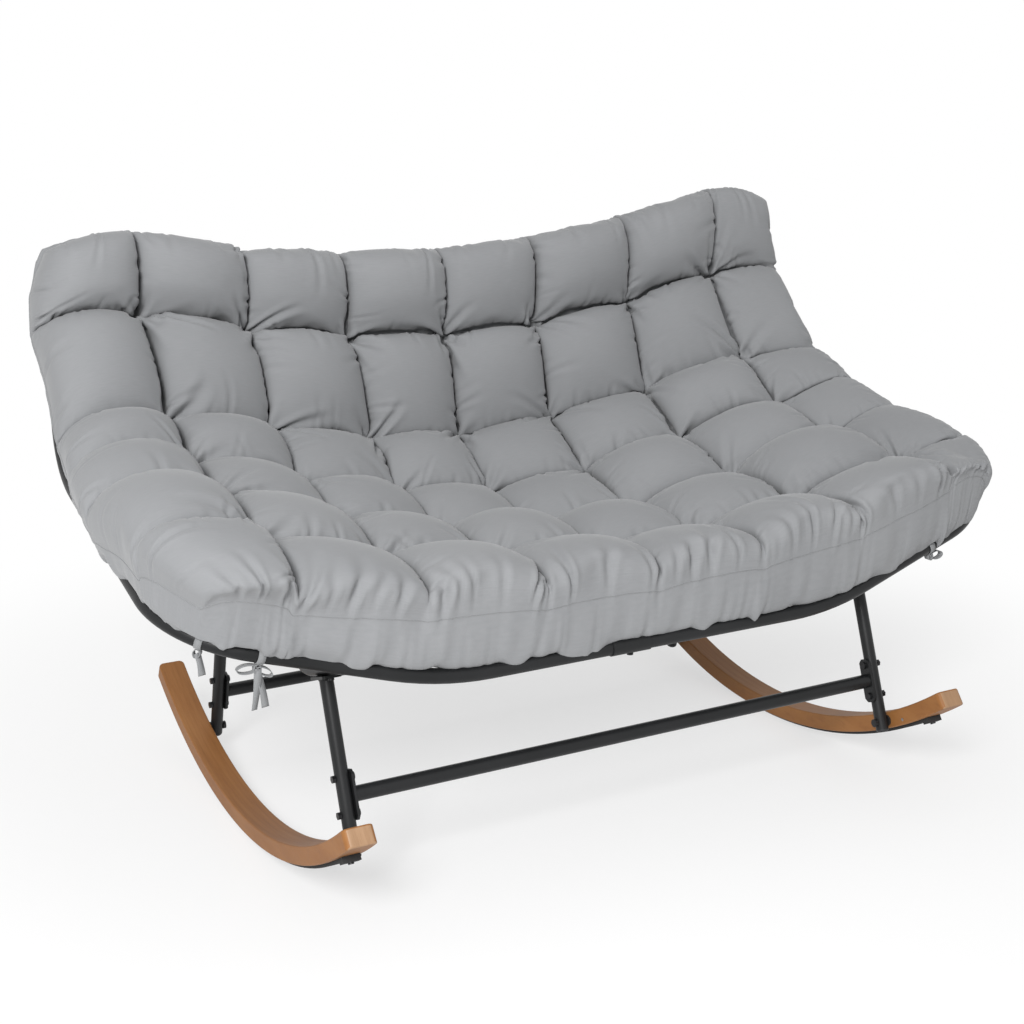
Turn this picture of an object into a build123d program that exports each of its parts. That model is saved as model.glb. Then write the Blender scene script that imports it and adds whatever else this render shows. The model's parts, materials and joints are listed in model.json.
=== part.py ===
from build123d import *
import math
import os

import numpy as np

# Double rocking chair: a bent-tube hoop and ribs carry one tufted cushion, four tube legs stand
# between two bent-wood rockers, and two stretchers brace the legs. Millimetres, +X to the right as
# seen from the front, +Y to the back, +Z up. The origin is on the floor, midway between the rockers,
# where they touch it.

# Rockers
ROCKER_RADIUS = 800.0
ROCKER_THICKNESS = 27.0
ROCKER_WIDTH = 44.0
ROCKER_INNER_X = 474.0
ROCKER_FRONT_ANGLE = 38.5
ROCKER_REAR_ANGLE = 29.6
ROCKER_CORNER = 9.0
ROCKER_SOFTENING = 2.5
STRIP_THICKNESS = 5.0
STRIP_WIDTH = 26.0
STRIP_FRONT_ANGLE = 33.5
STRIP_REAR_ANGLE = 22.5
BLOCK_LENGTH = 14.0
BLOCK_THICKNESS = 9.0
STRIP_SCREW_RADIUS = 2.0
STRIP_SCREW_HEAD_RADIUS = 4.2
STRIP_SCREW_HEAD = 2.4
STRIP_SCREW_GRIP = 16.0
PIN_RADIUS = 2.5
PIN_LENGTH = 20.0
PIN_ANGLE = 30.9
PIN_HEIGHT = 8.5

# Legs
LEG_RADIUS = 10.0
LEG_WALL = 1.5
FRONT_LEG_LEAN = 20.4
REAR_LEG_LEAN = 16.6
FOOT_INSET = 2.0
CAP_DOME = 5.0
CAP_ROUNDING = 4.0
CAP_PLUG = 5.0
CAP_CLEARANCE = 0.1
LEG_WASHER_THICKNESS = 3.0
LEG_WASHER_RADIUS = 9.0
LEG_BOLT_RADIUS = 4.0
LEG_BOLT_HEAD_RADIUS = 6.5
LEG_BOLT_HEAD = 5.0
LEG_BOLT_GRIP = 22.0
INSERT_RADIUS = 6.0
INSERT_LENGTH = 28.0
HOLE_CLEARANCE = 0.2
CUT_OVERRUN = 1.0

# Stretchers
STRETCHER_RADIUS = 11.0
STRETCHER_WALL = 1.5
FRONT_STRETCHER_Y = -345.0
FRONT_STRETCHER_Z = 176.0
REAR_STRETCHER_Y = 220.0
REAR_STRETCHER_Z = 126.0
END_PLATE_THICKNESS = 4.0
END_PLATE_WIDTH = 24.0
END_PLATE_HEIGHT = 70.0
END_PLATE_CHAMFER = 6.0
END_BOLT_RADIUS = 3.0
END_BOLT_SPACING = 50.0
END_BOLT_HEAD_RADIUS = 5.5
END_BOLT_HEAD = 3.5
END_NUT_RADIUS = 5.6
END_NUT_HEIGHT = 5.0

# Hoop, right half: corners of its axis and the bends at them, from the front centre to the back centre
RIM_RADIUS = 11.0
RIM_WALL = 1.5
RIM_FRONT_Y = -382.0
RIM_FRONT_Z = 334.0
RIM_BACK_Y = 380.0
RIM_BACK_Z = 750.0
RIM_FRONT_FLAT = 330.0
RIM_BACK_FLAT = 250.0
RIM_FRONT_CORNER = (692.0, -346.0, 440.0)
RIM_SIDE_BEND = (700.0, 159.0, 545.0)
RIM_BACK_CORNER = (660.0, 380.0, 833.0)
RIM_BENDS = [500.0, 130.0, 200.0, 110.0, 500.0]
SOCKET_LENGTH = 60.0
SOCKET_CLEARANCE = 0.1
SOCKET_SHOULDER = 4.0
SOCKET_END_GAP = 2.5
RIM_SCREW_RADIUS = 2.5
RIM_SCREW_HEAD_RADIUS = 4.8
RIM_SCREW_HEAD = 2.8
RIM_SCREW_GRIP = 6.0

# Ribs under the cushion: (y, z) corners of each axis between the hoop's front and back bars
RIB_RADIUS = 9.5
RIB_WALL = 1.5
CENTRE_RIB = [(-306.0, 304.0), (-46.0, 310.0), (124.0, 353.0), (297.0, 446.0), (366.0, 650.0)]
CENTRE_RIB_BENDS = [200.0, 300.0, 300.0, 200.0, 200.0]
SIDE_RIB_DIP_Y = -211.0
SIDE_RIB = [(14.0, 388.0), (144.0, 456.0), (262.0, 568.0), (350.0, 723.0)]
SIDE_RIB_BENDS = [90.0, 300.0, 200.0, 300.0, 200.0]
SADDLE_LENGTH = 54.0
SADDLE_WIDTH = 28.0
SADDLE_THICKNESS = 4.0
SADDLE_CORNER = 4.0
SADDLE_BOLT_RADIUS = 2.5
SADDLE_BOLT_SPACING = 40.0
SADDLE_BOLT_HEAD_RADIUS = 4.4
SADDLE_BOLT_HEAD = 3.0
SADDLE_BOLT_GRIP = 3.0

# Cushion: (y, z) of the quilting rows on the centre line, from the front edge to the top edge,
# how far each row lies forward of that and above it at the outer tufts, how late that rise comes,
# and how deep the cushion is behind the row's tufts. Its border seam stands up at the front edge
ROWS = [
    (-412.0, 362.0),
    (-231.0, 398.0),
    (-40.0, 382.0),
    (120.0, 418.0),
    (262.0, 498.0),
    (316.0, 670.0),
    (332.0, 822.0),
]
ROW_FORWARD = [-15.0, 40.0, 55.0, 70.0, 95.0, 30.0, 30.0]
ROW_RISE = [66.0, 105.0, 135.0, 124.0, 101.0, 68.0, 76.0]
ROW_BOWL = [3.5, 2.0, 1.7, 1.6, 1.6, 1.8, 2.0]
ROW_DEPTH = [34.0, 42.0, 42.0, 42.0, 32.0, 16.0, 15.0]
COLUMN_PITCH = 182.0
COLUMNS_PER_SIDE = 4
CUSHION_HALF_WIDTH = 706.0
EDGE_RISE_SHARE = 1.08
EDGE_FORWARD_SHARE = 1.3
PILLOW_CREST = 70.0
CREASE_HEIGHT = 20.0
END_CREST = 12.0
SEAM_RAISE = 46.0
SEAM_FADE = 1.3
EDGE_HALF = 8.0
EDGE_TOP = 24.0
EDGE_BULGE = 10.0
FRONT_INSET = 110.0
TOP_INSET = 95.0
ROW_STEPS = [0.0, 0.2, 0.5, 0.8]
CUSHION_CLEARANCE = 0.4
SAMPLES_ACROSS = 31
SAMPLES_ALONG = 7
TUBE_SAMPLE_SPACING = 4.0
SLOPE_STEP = 0.02
BISECTIONS = 40

# Cushion tapes, tied round the hoop
TAPE_WIDTH = 10.0
TAPE_THICKNESS = 1.2
TAPE_CLEARANCE = 0.3
TAPE_GAP_ANGLE = 110.0
KNOT_RADIUS = 7.0
LOOP_LENGTH = 26.0
LOOP_HEIGHT = 13.0
BOW_X = -576.0
TAIL_X = -646.0
LOOP_X = 540.0
BOW_TAIL_LENGTH = 56.0
SINGLE_TAIL_LENGTH = 30.0
TAIL_SPREAD = 8.0
TAIL_BOW = 4.0
TAIL_STEP = 2.5

leg_x = ROCKER_INNER_X - LEG_WASHER_THICKNESS - LEG_RADIUS
leg_inner_x = leg_x - LEG_RADIUS
wood_radius = ROCKER_RADIUS - STRIP_THICKNESS
rocker_mid_radius = wood_radius - ROCKER_THICKNESS / 2
rocker_centre_x = ROCKER_INNER_X + ROCKER_WIDTH / 2
socket_radius = RIM_RADIUS + SOCKET_CLEARANCE + RIM_WALL


def save(name, solids):
    """Write one node, as one solid or as a group of separate solids."""
    shape = solids if not isinstance(solids, list) else Compound(children=list(solids))
    shape.label = name
    export_step(shape, f"parts/{name}.step")


def both_sides(solid):
    """A piece and its mirror image across the chair's middle plane."""
    return [solid, mirror(solid, about=Plane.YZ)]


def bar(start, end, radius):
    """A round bar between two points."""
    axis = Vector(*end) - Vector(*start)
    return extrude(Plane(origin=start, z_dir=axis) * Circle(radius), axis.length)


def bent_tube(path, radius, wall=None):
    """A round bar along a path, or a tube of that outside where a wall is given."""
    section = Circle(radius) if wall is None else Circle(radius) - Circle(radius - wall)
    return sweep(Plane(origin=path @ 0, z_dir=path % 0) * section, path=path)


def rocker_sector(outer, thickness, width, front_angle, rear_angle):
    """A slice of the rockers' ring, centred on x = 0, between two angles from the lowest line."""
    def at(radius, angle):
        turn = math.radians(angle)
        return (radius * math.sin(turn), ROCKER_RADIUS - radius * math.cos(turn))

    inner = outer - thickness
    middle = (rear_angle - front_angle) / 2
    low = ThreePointArc(at(outer, -front_angle), at(outer, middle), at(outer, rear_angle))
    high = ThreePointArc(at(inner, -front_angle), at(inner, middle), at(inner, rear_angle))
    ends = [Line(low @ 0, high @ 0), Line(low @ 1, high @ 1)]
    face = Plane.YZ * make_face([low, high] + ends)
    return extrude(face, width / 2, both=True)


# Rockers, their strips and the blocks that end the strips
def make_rocker():
    slab = rocker_sector(wood_radius, ROCKER_THICKNESS, ROCKER_WIDTH, ROCKER_FRONT_ANGLE, ROCKER_REAR_ANGLE)
    corners = [e for e in slab.edges().filter_by(GeomType.LINE) if abs((e % 0.5).X) < 0.5]
    slab = fillet(corners, ROCKER_CORNER)
    long_edges = slab.edges().filter_by(lambda e: e.length > ROCKER_RADIUS / 2)
    return fillet(long_edges, ROCKER_SOFTENING)


def block_angle(edge_angle, share):
    """Angle at a share of a block's length outwards from the end of its strip."""
    return edge_angle + math.degrees(BLOCK_LENGTH * share / wood_radius)


def make_block(front):
    edge = STRIP_FRONT_ANGLE if front else -STRIP_REAR_ANGLE
    turn = 1 if front else -1
    start = edge
    stop = turn * block_angle(abs(edge), 1.0)
    low_angle = max(start, stop)
    high_angle = min(start, stop)
    return rocker_sector(wood_radius + BLOCK_THICKNESS, BLOCK_THICKNESS, STRIP_WIDTH, low_angle, -high_angle)


def block_axis(front):
    """Point on the wood's underside at a block's middle, and the direction out of the wood there."""
    angle = -block_angle(STRIP_FRONT_ANGLE, 0.5) if front else block_angle(STRIP_REAR_ANGLE, 0.5)
    turn = math.radians(angle)
    out = Vector(0, math.sin(turn), -math.cos(turn))
    return Vector(0, 0, ROCKER_RADIUS) + out * wood_radius, out


def strip_screw(front):
    seat, out = block_axis(front)
    outside = seat + out * BLOCK_THICKNESS
    shank = bar(seat - out * STRIP_SCREW_GRIP, outside, STRIP_SCREW_RADIUS)
    head = bar(outside, outside + out * STRIP_SCREW_HEAD, STRIP_SCREW_HEAD_RADIUS)
    return shank + head


def strip_screw_hole(front):
    seat, out = block_axis(front)
    start = seat - out * (STRIP_SCREW_GRIP + HOLE_CLEARANCE)
    return bar(start, seat + out * 2 * BLOCK_THICKNESS, STRIP_SCREW_RADIUS + HOLE_CLEARANCE)


def pin_start():
    """Middle of a pin's end in the right-hand rocker's inner face, near the rocker's front."""
    turn = math.radians(PIN_ANGLE)
    radius = wood_radius - PIN_HEIGHT
    return Vector(ROCKER_INNER_X, -radius * math.sin(turn), ROCKER_RADIUS - radius * math.cos(turn))


def make_pin():
    return bar(pin_start(), pin_start() + Vector(PIN_LENGTH, 0, 0), PIN_RADIUS)


def pin_hole():
    deep = Vector(PIN_LENGTH + HOLE_CLEARANCE, 0, 0)
    return bar(pin_start() - Vector(CUT_OVERRUN, 0, 0), pin_start() + deep, PIN_RADIUS + HOLE_CLEARANCE)


# Legs
def leg_line(front):
    """A point on a right-hand leg's axis, at its stretcher, and the axis's upward direction."""
    lean = math.radians(FRONT_LEG_LEAN if front else -REAR_LEG_LEAN)
    y, z = (FRONT_STRETCHER_Y, FRONT_STRETCHER_Z) if front else (REAR_STRETCHER_Y, REAR_STRETCHER_Z)
    return Vector(leg_x, y, z), Vector(0, math.sin(lean), math.cos(lean))


def leg_at_radius(front, radius):
    """Where a leg's axis, going down, is at a radius from the rockers' centre line."""
    point, up = leg_line(front)
    offset = Vector(0, point.Y, point.Z - ROCKER_RADIUS)
    along = offset.dot(up)
    reach = math.sqrt(along * along + radius * radius - offset.dot(offset))
    return point - up * (along + reach)


# The hoop's and the ribs' axes
def rim_points():
    return [
        (SOCKET_END_GAP - SOCKET_LENGTH, RIM_FRONT_Y, RIM_FRONT_Z),
        (RIM_FRONT_FLAT, RIM_FRONT_Y, RIM_FRONT_Z),
        RIM_FRONT_CORNER,
        RIM_SIDE_BEND,
        RIM_BACK_CORNER,
        (RIM_BACK_FLAT, RIM_BACK_Y, RIM_BACK_Z),
        (SOCKET_END_GAP - SOCKET_LENGTH, RIM_BACK_Y, RIM_BACK_Z),
    ]


def rim_path(left):
    """The axis of one half of the hoop: the left half stops where its sockets start."""
    points = [list(p) for p in rim_points()]
    if left:
        points = [[-x, y, z] for x, y, z in points]
        points[0][0] = points[-1][0] = -SOCKET_LENGTH
    return FilletPolyline(*[tuple(p) for p in points], radius=RIM_BENDS)


def rim_front_at(x):
    """The hoop's axis on the rising straight of its front bar."""
    start = Vector(RIM_FRONT_FLAT, RIM_FRONT_Y, RIM_FRONT_Z)
    run = Vector(*RIM_FRONT_CORNER) - start
    return start + run * ((x - RIM_FRONT_FLAT) / run.X)


def rim_back_at(x):
    """The hoop's axis on the rising straight of its back bar."""
    start = Vector(RIM_BACK_FLAT, RIM_BACK_Y, RIM_BACK_Z)
    run = Vector(*RIM_BACK_CORNER) - start
    return start + run * ((x - RIM_BACK_FLAT) / run.X)


def centre_rib_path():
    points = [(RIM_FRONT_Y, RIM_FRONT_Z)] + CENTRE_RIB + [(RIM_BACK_Y, RIM_BACK_Z)]
    return FilletPolyline(*[(0, y, z) for y, z in points], radius=CENTRE_RIB_BENDS)


def side_rib_front():
    """Front run of a side rib: from the hoop, square to the front leg, down to the rib's dip."""
    start = rim_front_at(leg_x)
    dip_z = start.Z - (SIDE_RIB_DIP_Y - start.Y) * math.tan(math.radians(FRONT_LEG_LEAN))
    return start, Vector(leg_x, SIDE_RIB_DIP_Y, dip_z)


def side_rib_points():
    start, dip = side_rib_front()
    rest = [Vector(leg_x, y, z) for y, z in SIDE_RIB]
    return [start, dip] + rest + [rim_back_at(leg_x)]


def side_rib_path():
    return FilletPolyline(*side_rib_points(), radius=SIDE_RIB_BENDS)


def saddle_frame(front):
    """Plane under a side rib where a leg meets it: local X along the rib, Z out of the rib, down."""
    points = side_rib_points()
    start, end = (points[0], points[1]) if front else (points[2], points[3])
    along = (end - start).normalized()
    down = Vector(1, 0, 0).cross(along) * -1
    down = down if down.Z < 0 else down * -1
    point, up = leg_line(front)
    reach = (start - point).dot(down) / up.dot(down)
    meet = point + up * reach
    origin = meet + down * RIB_RADIUS
    return Plane(origin=origin, x_dir=along, z_dir=down)


def saddle_bolt_points(front):
    frame = saddle_frame(front)
    return [frame.from_local_coords(Vector(s * SADDLE_BOLT_SPACING / 2, 0, 0)) for s in (-1, 1)], frame.z_dir


def make_saddle(front):
    outline = RectangleRounded(SADDLE_LENGTH, SADDLE_WIDTH, SADDLE_CORNER)
    plate = saddle_frame(front) * extrude(outline, SADDLE_THICKNESS)
    points, down = saddle_bolt_points(front)
    for p in points:
        top = p - down * CUT_OVERRUN
        bottom = p + down * (SADDLE_THICKNESS + CUT_OVERRUN)
        plate -= bar(top, bottom, SADDLE_BOLT_RADIUS + HOLE_CLEARANCE)
    return plate


def saddle_bolts(front):
    points, down = saddle_bolt_points(front)
    bolts = []
    for p in points:
        under = p + down * SADDLE_THICKNESS
        shank = bar(p - down * SADDLE_BOLT_GRIP, under, SADDLE_BOLT_RADIUS)
        bolts.append(shank + bar(under, under + down * SADDLE_BOLT_HEAD, SADDLE_BOLT_HEAD_RADIUS))
    return bolts


def make_leg(front):
    frame = saddle_frame(front)
    foot = leg_at_radius(front, wood_radius - FOOT_INSET)
    _, up = leg_line(front)
    top = frame.origin + up * 2 * LEG_RADIUS
    length = (top - foot).dot(up)
    leg = bar(foot, foot + up * length, LEG_RADIUS) - bar(foot, foot + up * length, LEG_RADIUS - LEG_WALL)
    under_plate = frame.offset(SADDLE_THICKNESS)
    reach = 8 * LEG_RADIUS
    leg -= under_plate * extrude(Circle(reach), -reach)
    leg -= leg_bolt_hole(front)
    for p in end_bolt_points(front):
        start = Vector(p.X - 2 * LEG_RADIUS, p.Y, p.Z)
        leg -= bar(start, start + Vector(4 * LEG_RADIUS, 0, 0), END_BOLT_RADIUS + HOLE_CLEARANCE)
    return leg


def make_cap(front):
    _, up = leg_line(front)
    foot = leg_at_radius(front, wood_radius - FOOT_INSET)
    plug = bar(foot, foot + up * CAP_PLUG, LEG_RADIUS - LEG_WALL - CAP_CLEARANCE)
    dome = bar(foot - up * CAP_DOME, foot, LEG_RADIUS)
    low_rim = dome.edges().sort_by(lambda e: e.center().dot(up))[0]
    return fillet(low_rim, CAP_ROUNDING) + plug


def leg_bolt_hole(front):
    axis = leg_at_radius(front, rocker_mid_radius)
    start = Vector(leg_inner_x - LEG_RADIUS, axis.Y, axis.Z)
    end = Vector(ROCKER_INNER_X + INSERT_LENGTH, axis.Y, axis.Z)
    return bar(start, end, LEG_BOLT_RADIUS + HOLE_CLEARANCE)


def make_leg_bolt(front):
    axis = leg_at_radius(front, rocker_mid_radius)
    head_face = Vector(leg_inner_x, axis.Y, axis.Z)
    tip = Vector(ROCKER_INNER_X + LEG_BOLT_GRIP, axis.Y, axis.Z)
    head = bar(head_face - Vector(LEG_BOLT_HEAD, 0, 0), head_face, LEG_BOLT_HEAD_RADIUS)
    return head + bar(head_face, tip, LEG_BOLT_RADIUS)


def make_leg_washer(front):
    axis = leg_at_radius(front, rocker_mid_radius)
    start = Vector(ROCKER_INNER_X - LEG_WASHER_THICKNESS, axis.Y, axis.Z)
    end = Vector(ROCKER_INNER_X, axis.Y, axis.Z)
    return bar(start, end, LEG_WASHER_RADIUS) - bar(start, end, LEG_BOLT_RADIUS + HOLE_CLEARANCE)


def make_insert(front):
    axis = leg_at_radius(front, rocker_mid_radius)
    start = Vector(ROCKER_INNER_X, axis.Y, axis.Z)
    end = start + Vector(INSERT_LENGTH, 0, 0)
    return bar(start, end, INSERT_RADIUS) - bar(start, end, LEG_BOLT_RADIUS + HOLE_CLEARANCE)


def insert_hole(front):
    axis = leg_at_radius(front, rocker_mid_radius)
    start = Vector(ROCKER_INNER_X - CUT_OVERRUN, axis.Y, axis.Z)
    return bar(start, start + Vector(CUT_OVERRUN + INSERT_LENGTH, 0, 0), INSERT_RADIUS)


# Stretchers
def end_bolt_points(front):
    point, up = leg_line(front)
    return [point + up * (s * END_BOLT_SPACING / 2) for s in (-1, 1)]


def make_stretcher(front):
    point, _ = leg_line(front)
    reach = leg_inner_x - END_PLATE_THICKNESS
    ends = (Vector(-reach, point.Y, point.Z), Vector(reach, point.Y, point.Z))
    return bar(*ends, STRETCHER_RADIUS) - bar(*ends, STRETCHER_RADIUS - STRETCHER_WALL)


def make_end_plate(front):
    point, up = leg_line(front)
    inner = Vector(leg_inner_x - END_PLATE_THICKNESS, point.Y, point.Z)
    frame = Plane(origin=inner, x_dir=up, z_dir=(1, 0, 0))
    outline = Rectangle(END_PLATE_HEIGHT, END_PLATE_WIDTH)
    outline = chamfer(outline.vertices(), END_PLATE_CHAMFER)
    plate = frame * extrude(outline, END_PLATE_THICKNESS)
    for p in end_bolt_points(front):
        start = Vector(inner.X - CUT_OVERRUN, p.Y, p.Z)
        through = Vector(END_PLATE_THICKNESS + 2 * CUT_OVERRUN, 0, 0)
        plate -= bar(start, start + through, END_BOLT_RADIUS + HOLE_CLEARANCE)
    return plate


def make_end_bolts(front):
    bolts = []
    for p in end_bolt_points(front):
        head_face = Vector(leg_inner_x - END_PLATE_THICKNESS, p.Y, p.Z)
        tip = Vector(leg_x + LEG_RADIUS + END_NUT_HEIGHT, p.Y, p.Z)
        head = bar(head_face - Vector(END_BOLT_HEAD, 0, 0), head_face, END_BOLT_HEAD_RADIUS)
        bolts.append(head + bar(head_face, tip, END_BOLT_RADIUS))
    return bolts


def make_end_nuts(front):
    nuts = []
    for p in end_bolt_points(front):
        face = Plane(origin=(leg_x + LEG_RADIUS, p.Y, p.Z), z_dir=(1, 0, 0))
        hexagon = RegularPolygon(END_NUT_RADIUS, 6) - Circle(END_BOLT_RADIUS)
        nuts.append(face * extrude(hexagon, END_NUT_HEIGHT))
    return nuts


# Hoop
def make_socket(y, z):
    """The widened end of the left half, which the right half's end slides into."""
    def ring(start, length, inner):
        frame = Plane(origin=(start, y, z), z_dir=(1, 0, 0))
        return frame * extrude(Circle(socket_radius) - Circle(inner), length)

    sleeve = ring(-SOCKET_LENGTH, SOCKET_LENGTH, RIM_RADIUS + SOCKET_CLEARANCE)
    shoulder = ring(-SOCKET_LENGTH - SOCKET_SHOULDER, SOCKET_SHOULDER, RIM_RADIUS - RIM_WALL)
    return sleeve + shoulder


def rim_screw_axis(y, z):
    under = Vector(-SOCKET_LENGTH / 2, y, z - socket_radius)
    return under, under + Vector(0, 0, RIM_SCREW_GRIP)


def make_rim_screw(y, z):
    under, tip = rim_screw_axis(y, z)
    head = bar(under - Vector(0, 0, RIM_SCREW_HEAD), under, RIM_SCREW_HEAD_RADIUS)
    return head + bar(under, tip, RIM_SCREW_RADIUS)


def make_rims():
    left = bent_tube(rim_path(True), RIM_RADIUS, RIM_WALL)
    right = bent_tube(rim_path(False), RIM_RADIUS, RIM_WALL)
    for y, z in ((RIM_FRONT_Y, RIM_FRONT_Z), (RIM_BACK_Y, RIM_BACK_Z)):
        left += make_socket(y, z)
        under, tip = rim_screw_axis(y, z)
        hole = bar(under - Vector(0, 0, CUT_OVERRUN), tip, RIM_SCREW_RADIUS + HOLE_CLEARANCE)
        left -= hole
        right -= hole
    return left, right


def rim_envelope():
    """The hoop's outside, which the ribs' ends are cut to."""
    solids = [bent_tube(rim_path(True), RIM_RADIUS), bent_tube(rim_path(False), RIM_RADIUS)]
    for y, z in ((RIM_FRONT_Y, RIM_FRONT_Z), (RIM_BACK_Y, RIM_BACK_Z)):
        solids.append(bar((-SOCKET_LENGTH - SOCKET_SHOULDER, y, z), (0, y, z), socket_radius))
    return solids


def make_rib(path, envelope):
    rib = bent_tube(path, RIB_RADIUS, RIB_WALL)
    for solid in envelope:
        rib = rib - solid
    return max(rib.solids(), key=lambda s: s.volume)


# Cushion
def along_rows(values, s):
    """Smooth curve through one value per quilting row, at s rows from the front edge."""
    k = min(int(s), len(values) - 2)
    f = s - k
    p1 = values[k]
    p2 = values[k + 1]
    p0 = values[k - 1] if k > 0 else 2 * p1 - p2
    p3 = values[k + 2] if k + 2 < len(values) else 2 * p2 - p1
    return p1 + 0.5 * f * (p2 - p0 + f * (2 * p0 - 5 * p1 + 4 * p2 - p3 + f * (3 * (p1 - p2) + p3 - p0)))


def profile_at(s):
    """The centre line's point and its normal, into the seat, at s rows from the front edge."""
    ys = [y for y, z in ROWS]
    zs = [z for y, z in ROWS]
    low = max(s - SLOPE_STEP, 0)
    high = min(s + SLOPE_STEP, len(ROWS) - 1)
    dy = along_rows(ys, high) - along_rows(ys, low)
    dz = along_rows(zs, high) - along_rows(zs, low)
    size = math.hypot(dy, dz)
    return along_rows(ys, s), along_rows(zs, s), -dz / size, dy / size


def crown(f):
    """Half-round swell across a pillow, 0 at its edges and 1 in its middle."""
    return 2 * math.sqrt(max(f * (1 - f), 0))


def corner_inset(s):
    """How far the cushion's sides are drawn in towards its rounded corners."""
    to_top = len(ROWS) - 1 - s
    front = FRONT_INSET * max(1 - s, 0) ** 2
    top = TOP_INSET * (1 - crown(to_top)) if to_top < 0.5 else 0.0
    return front + top


def section_points(s):
    """Corners of the cushion's section at s rows: tops, crests and undersides, column by column."""
    last = len(ROWS) - 1
    y, z, ny, nz = profile_at(s)
    normal = Vector(0, ny, nz)
    forward = along_rows(ROW_FORWARD, s)
    rise = along_rows(ROW_RISE, s)
    bowl = along_rows(ROW_BOWL, s)
    depth = along_rows(ROW_DEPTH, s)
    f = s - min(int(s), last - 1)
    swell = crown(f)
    near_end = min(s, last - s)
    end = crown(near_end) if near_end < 0.5 else 1.0
    side = CUSHION_HALF_WIDTH - corner_inset(s) + EDGE_BULGE * swell
    raised = normal * SEAM_RAISE * max(1 - s, 0) ** SEAM_FADE
    side_top = EDGE_HALF + (EDGE_TOP - EDGE_HALF) * swell
    tops = []
    unders = []
    bases = []
    for i in range(-COLUMNS_PER_SIDE, COLUMNS_PER_SIDE + 1):
        outer = abs(i) == COLUMNS_PER_SIDE
        x = math.copysign(side, i) if outer else i * COLUMN_PITCH
        share = (abs(i) / (COLUMNS_PER_SIDE - 1)) ** bowl
        rise_share = EDGE_RISE_SHARE if outer else share
        forward_share = EDGE_FORWARD_SHARE if outer else share
        base = Vector(x, y - forward * forward_share, z + rise * rise_share)
        top = side_top if outer else CREASE_HEIGHT * swell * end + EDGE_HALF * (1 - end)
        under = EDGE_HALF if outer else EDGE_HALF + (depth - EDGE_HALF) * end
        bases.append(base)
        tops.append(base + normal * top + raised)
        unders.append(base - normal * under)
    low_crest = CREASE_HEIGHT if near_end >= 0.5 else END_CREST
    crest = low_crest + (PILLOW_CREST - low_crest) * swell
    crests = [(a + b) * 0.5 + normal * crest + raised for a, b in zip(bases, bases[1:])]
    return tops, crests, unders


def row_stations():
    stations = [k + f for k in range(len(ROWS) - 1) for f in ROW_STEPS]
    return stations + [len(ROWS) - 1]


def underside_samples():
    """Points all over the cushion's underside and rim, before it is set down on the frame."""
    corners = np.array([[list(p) for p in section_points(s)[2]] for s in row_stations()])
    share = np.linspace(0, 1, SAMPLES_ACROSS)[:, None]
    across = corners[:, :-1, None] * (1 - share) + corners[:, 1:, None] * share
    across = across.reshape(len(corners), -1, 3)
    share = np.linspace(0, 1, SAMPLES_ALONG)[:, None, None]
    along = across[:-1, None] * (1 - share) + across[1:, None] * share
    sides = np.array([[list(p) for p in section_points(s)[0]] for s in row_stations()])
    return np.concatenate([along.reshape(-1, 3), sides[:, (0, -1)].reshape(-1, 3), sides[0], sides[-1]])


def path_samples(path):
    count = int(path.length / TUBE_SAMPLE_SPACING)
    return np.array([list(path @ (i / count)) for i in range(count + 1)])


def cushion_lift():
    """How far the cushion is moved up from its drawn place so that it just rests on the tubes."""
    cloth = underside_samples()
    cloth = cloth[cloth[:, 0] >= -RIM_RADIUS]
    tubes = [(rim_path(False), RIM_RADIUS), (side_rib_path(), RIB_RADIUS), (centre_rib_path(), RIB_RADIUS)]
    collar_end = (SOCKET_LENGTH + SOCKET_SHOULDER, RIM_FRONT_Y, RIM_FRONT_Z)
    tubes.append((Line((0, RIM_FRONT_Y, RIM_FRONT_Z), collar_end), socket_radius))
    highest = 4 * max(ROW_DEPTH)
    lifts = []
    for path, radius in tubes:
        reach = radius + CUSHION_CLEARANCE
        for p in path_samples(path):
            aside = np.hypot(cloth[:, 0] - p[0], cloth[:, 1] - p[1])
            near = aside < reach
            need = p[2] + np.sqrt(reach ** 2 - aside[near] ** 2) - cloth[near, 2]
            lifts += list(need[need < highest])
    return max(lifts)


def make_cushion(lift):
    sections = [section_points(s) for s in row_stations()]
    columns = []
    for i in range(2 * COLUMNS_PER_SIDE):
        wires = []
        for tops, crests, unders in sections:
            a, b, c, d = tops[i] + lift, tops[i + 1] + lift, unders[i + 1] + lift, unders[i] + lift
            wires.append(Wire([
                Edge.make_three_point_arc(a, crests[i] + lift, b),
                Edge.make_line(b, c),
                Edge.make_line(c, d),
                Edge.make_line(d, a),
            ]))
        columns.append(Solid.make_loft(wires, ruled=True))
    return columns


# Tapes
def rim_frame(x):
    """Frame on the hoop's front part at x: Z along the tube, X straight down from it."""
    path = rim_path(x < 0)
    low = 0.0
    high = 1 / 3
    for _ in range(BISECTIONS):
        middle = (low + high) / 2
        low, high = (middle, high) if abs((path @ middle).X) < abs(x) else (low, middle)
    along = path % low
    down = Vector(0, 0, -1)
    down = (down - along * down.dot(along)).normalized()
    return Plane(origin=path @ low, x_dir=down, z_dir=along)


def tape_clip(frame):
    """The tape's turn round the tube, open on the cushion's side."""
    inner = RIM_RADIUS + TAPE_CLEARANCE
    ring = Circle(inner + TAPE_THICKNESS) - Circle(inner)
    reach = 2 * inner
    half_gap = reach * math.tan(math.radians(TAPE_GAP_ANGLE / 2))
    gap = Polygon((0, 0), (-reach, half_gap), (-reach, -half_gap), align=None)
    return frame * extrude(ring - gap, TAPE_WIDTH / 2, both=True)


def knot_point(frame):
    return frame.origin + frame.x_dir * (RIM_RADIUS + TAPE_CLEARANCE + KNOT_RADIUS)


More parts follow.
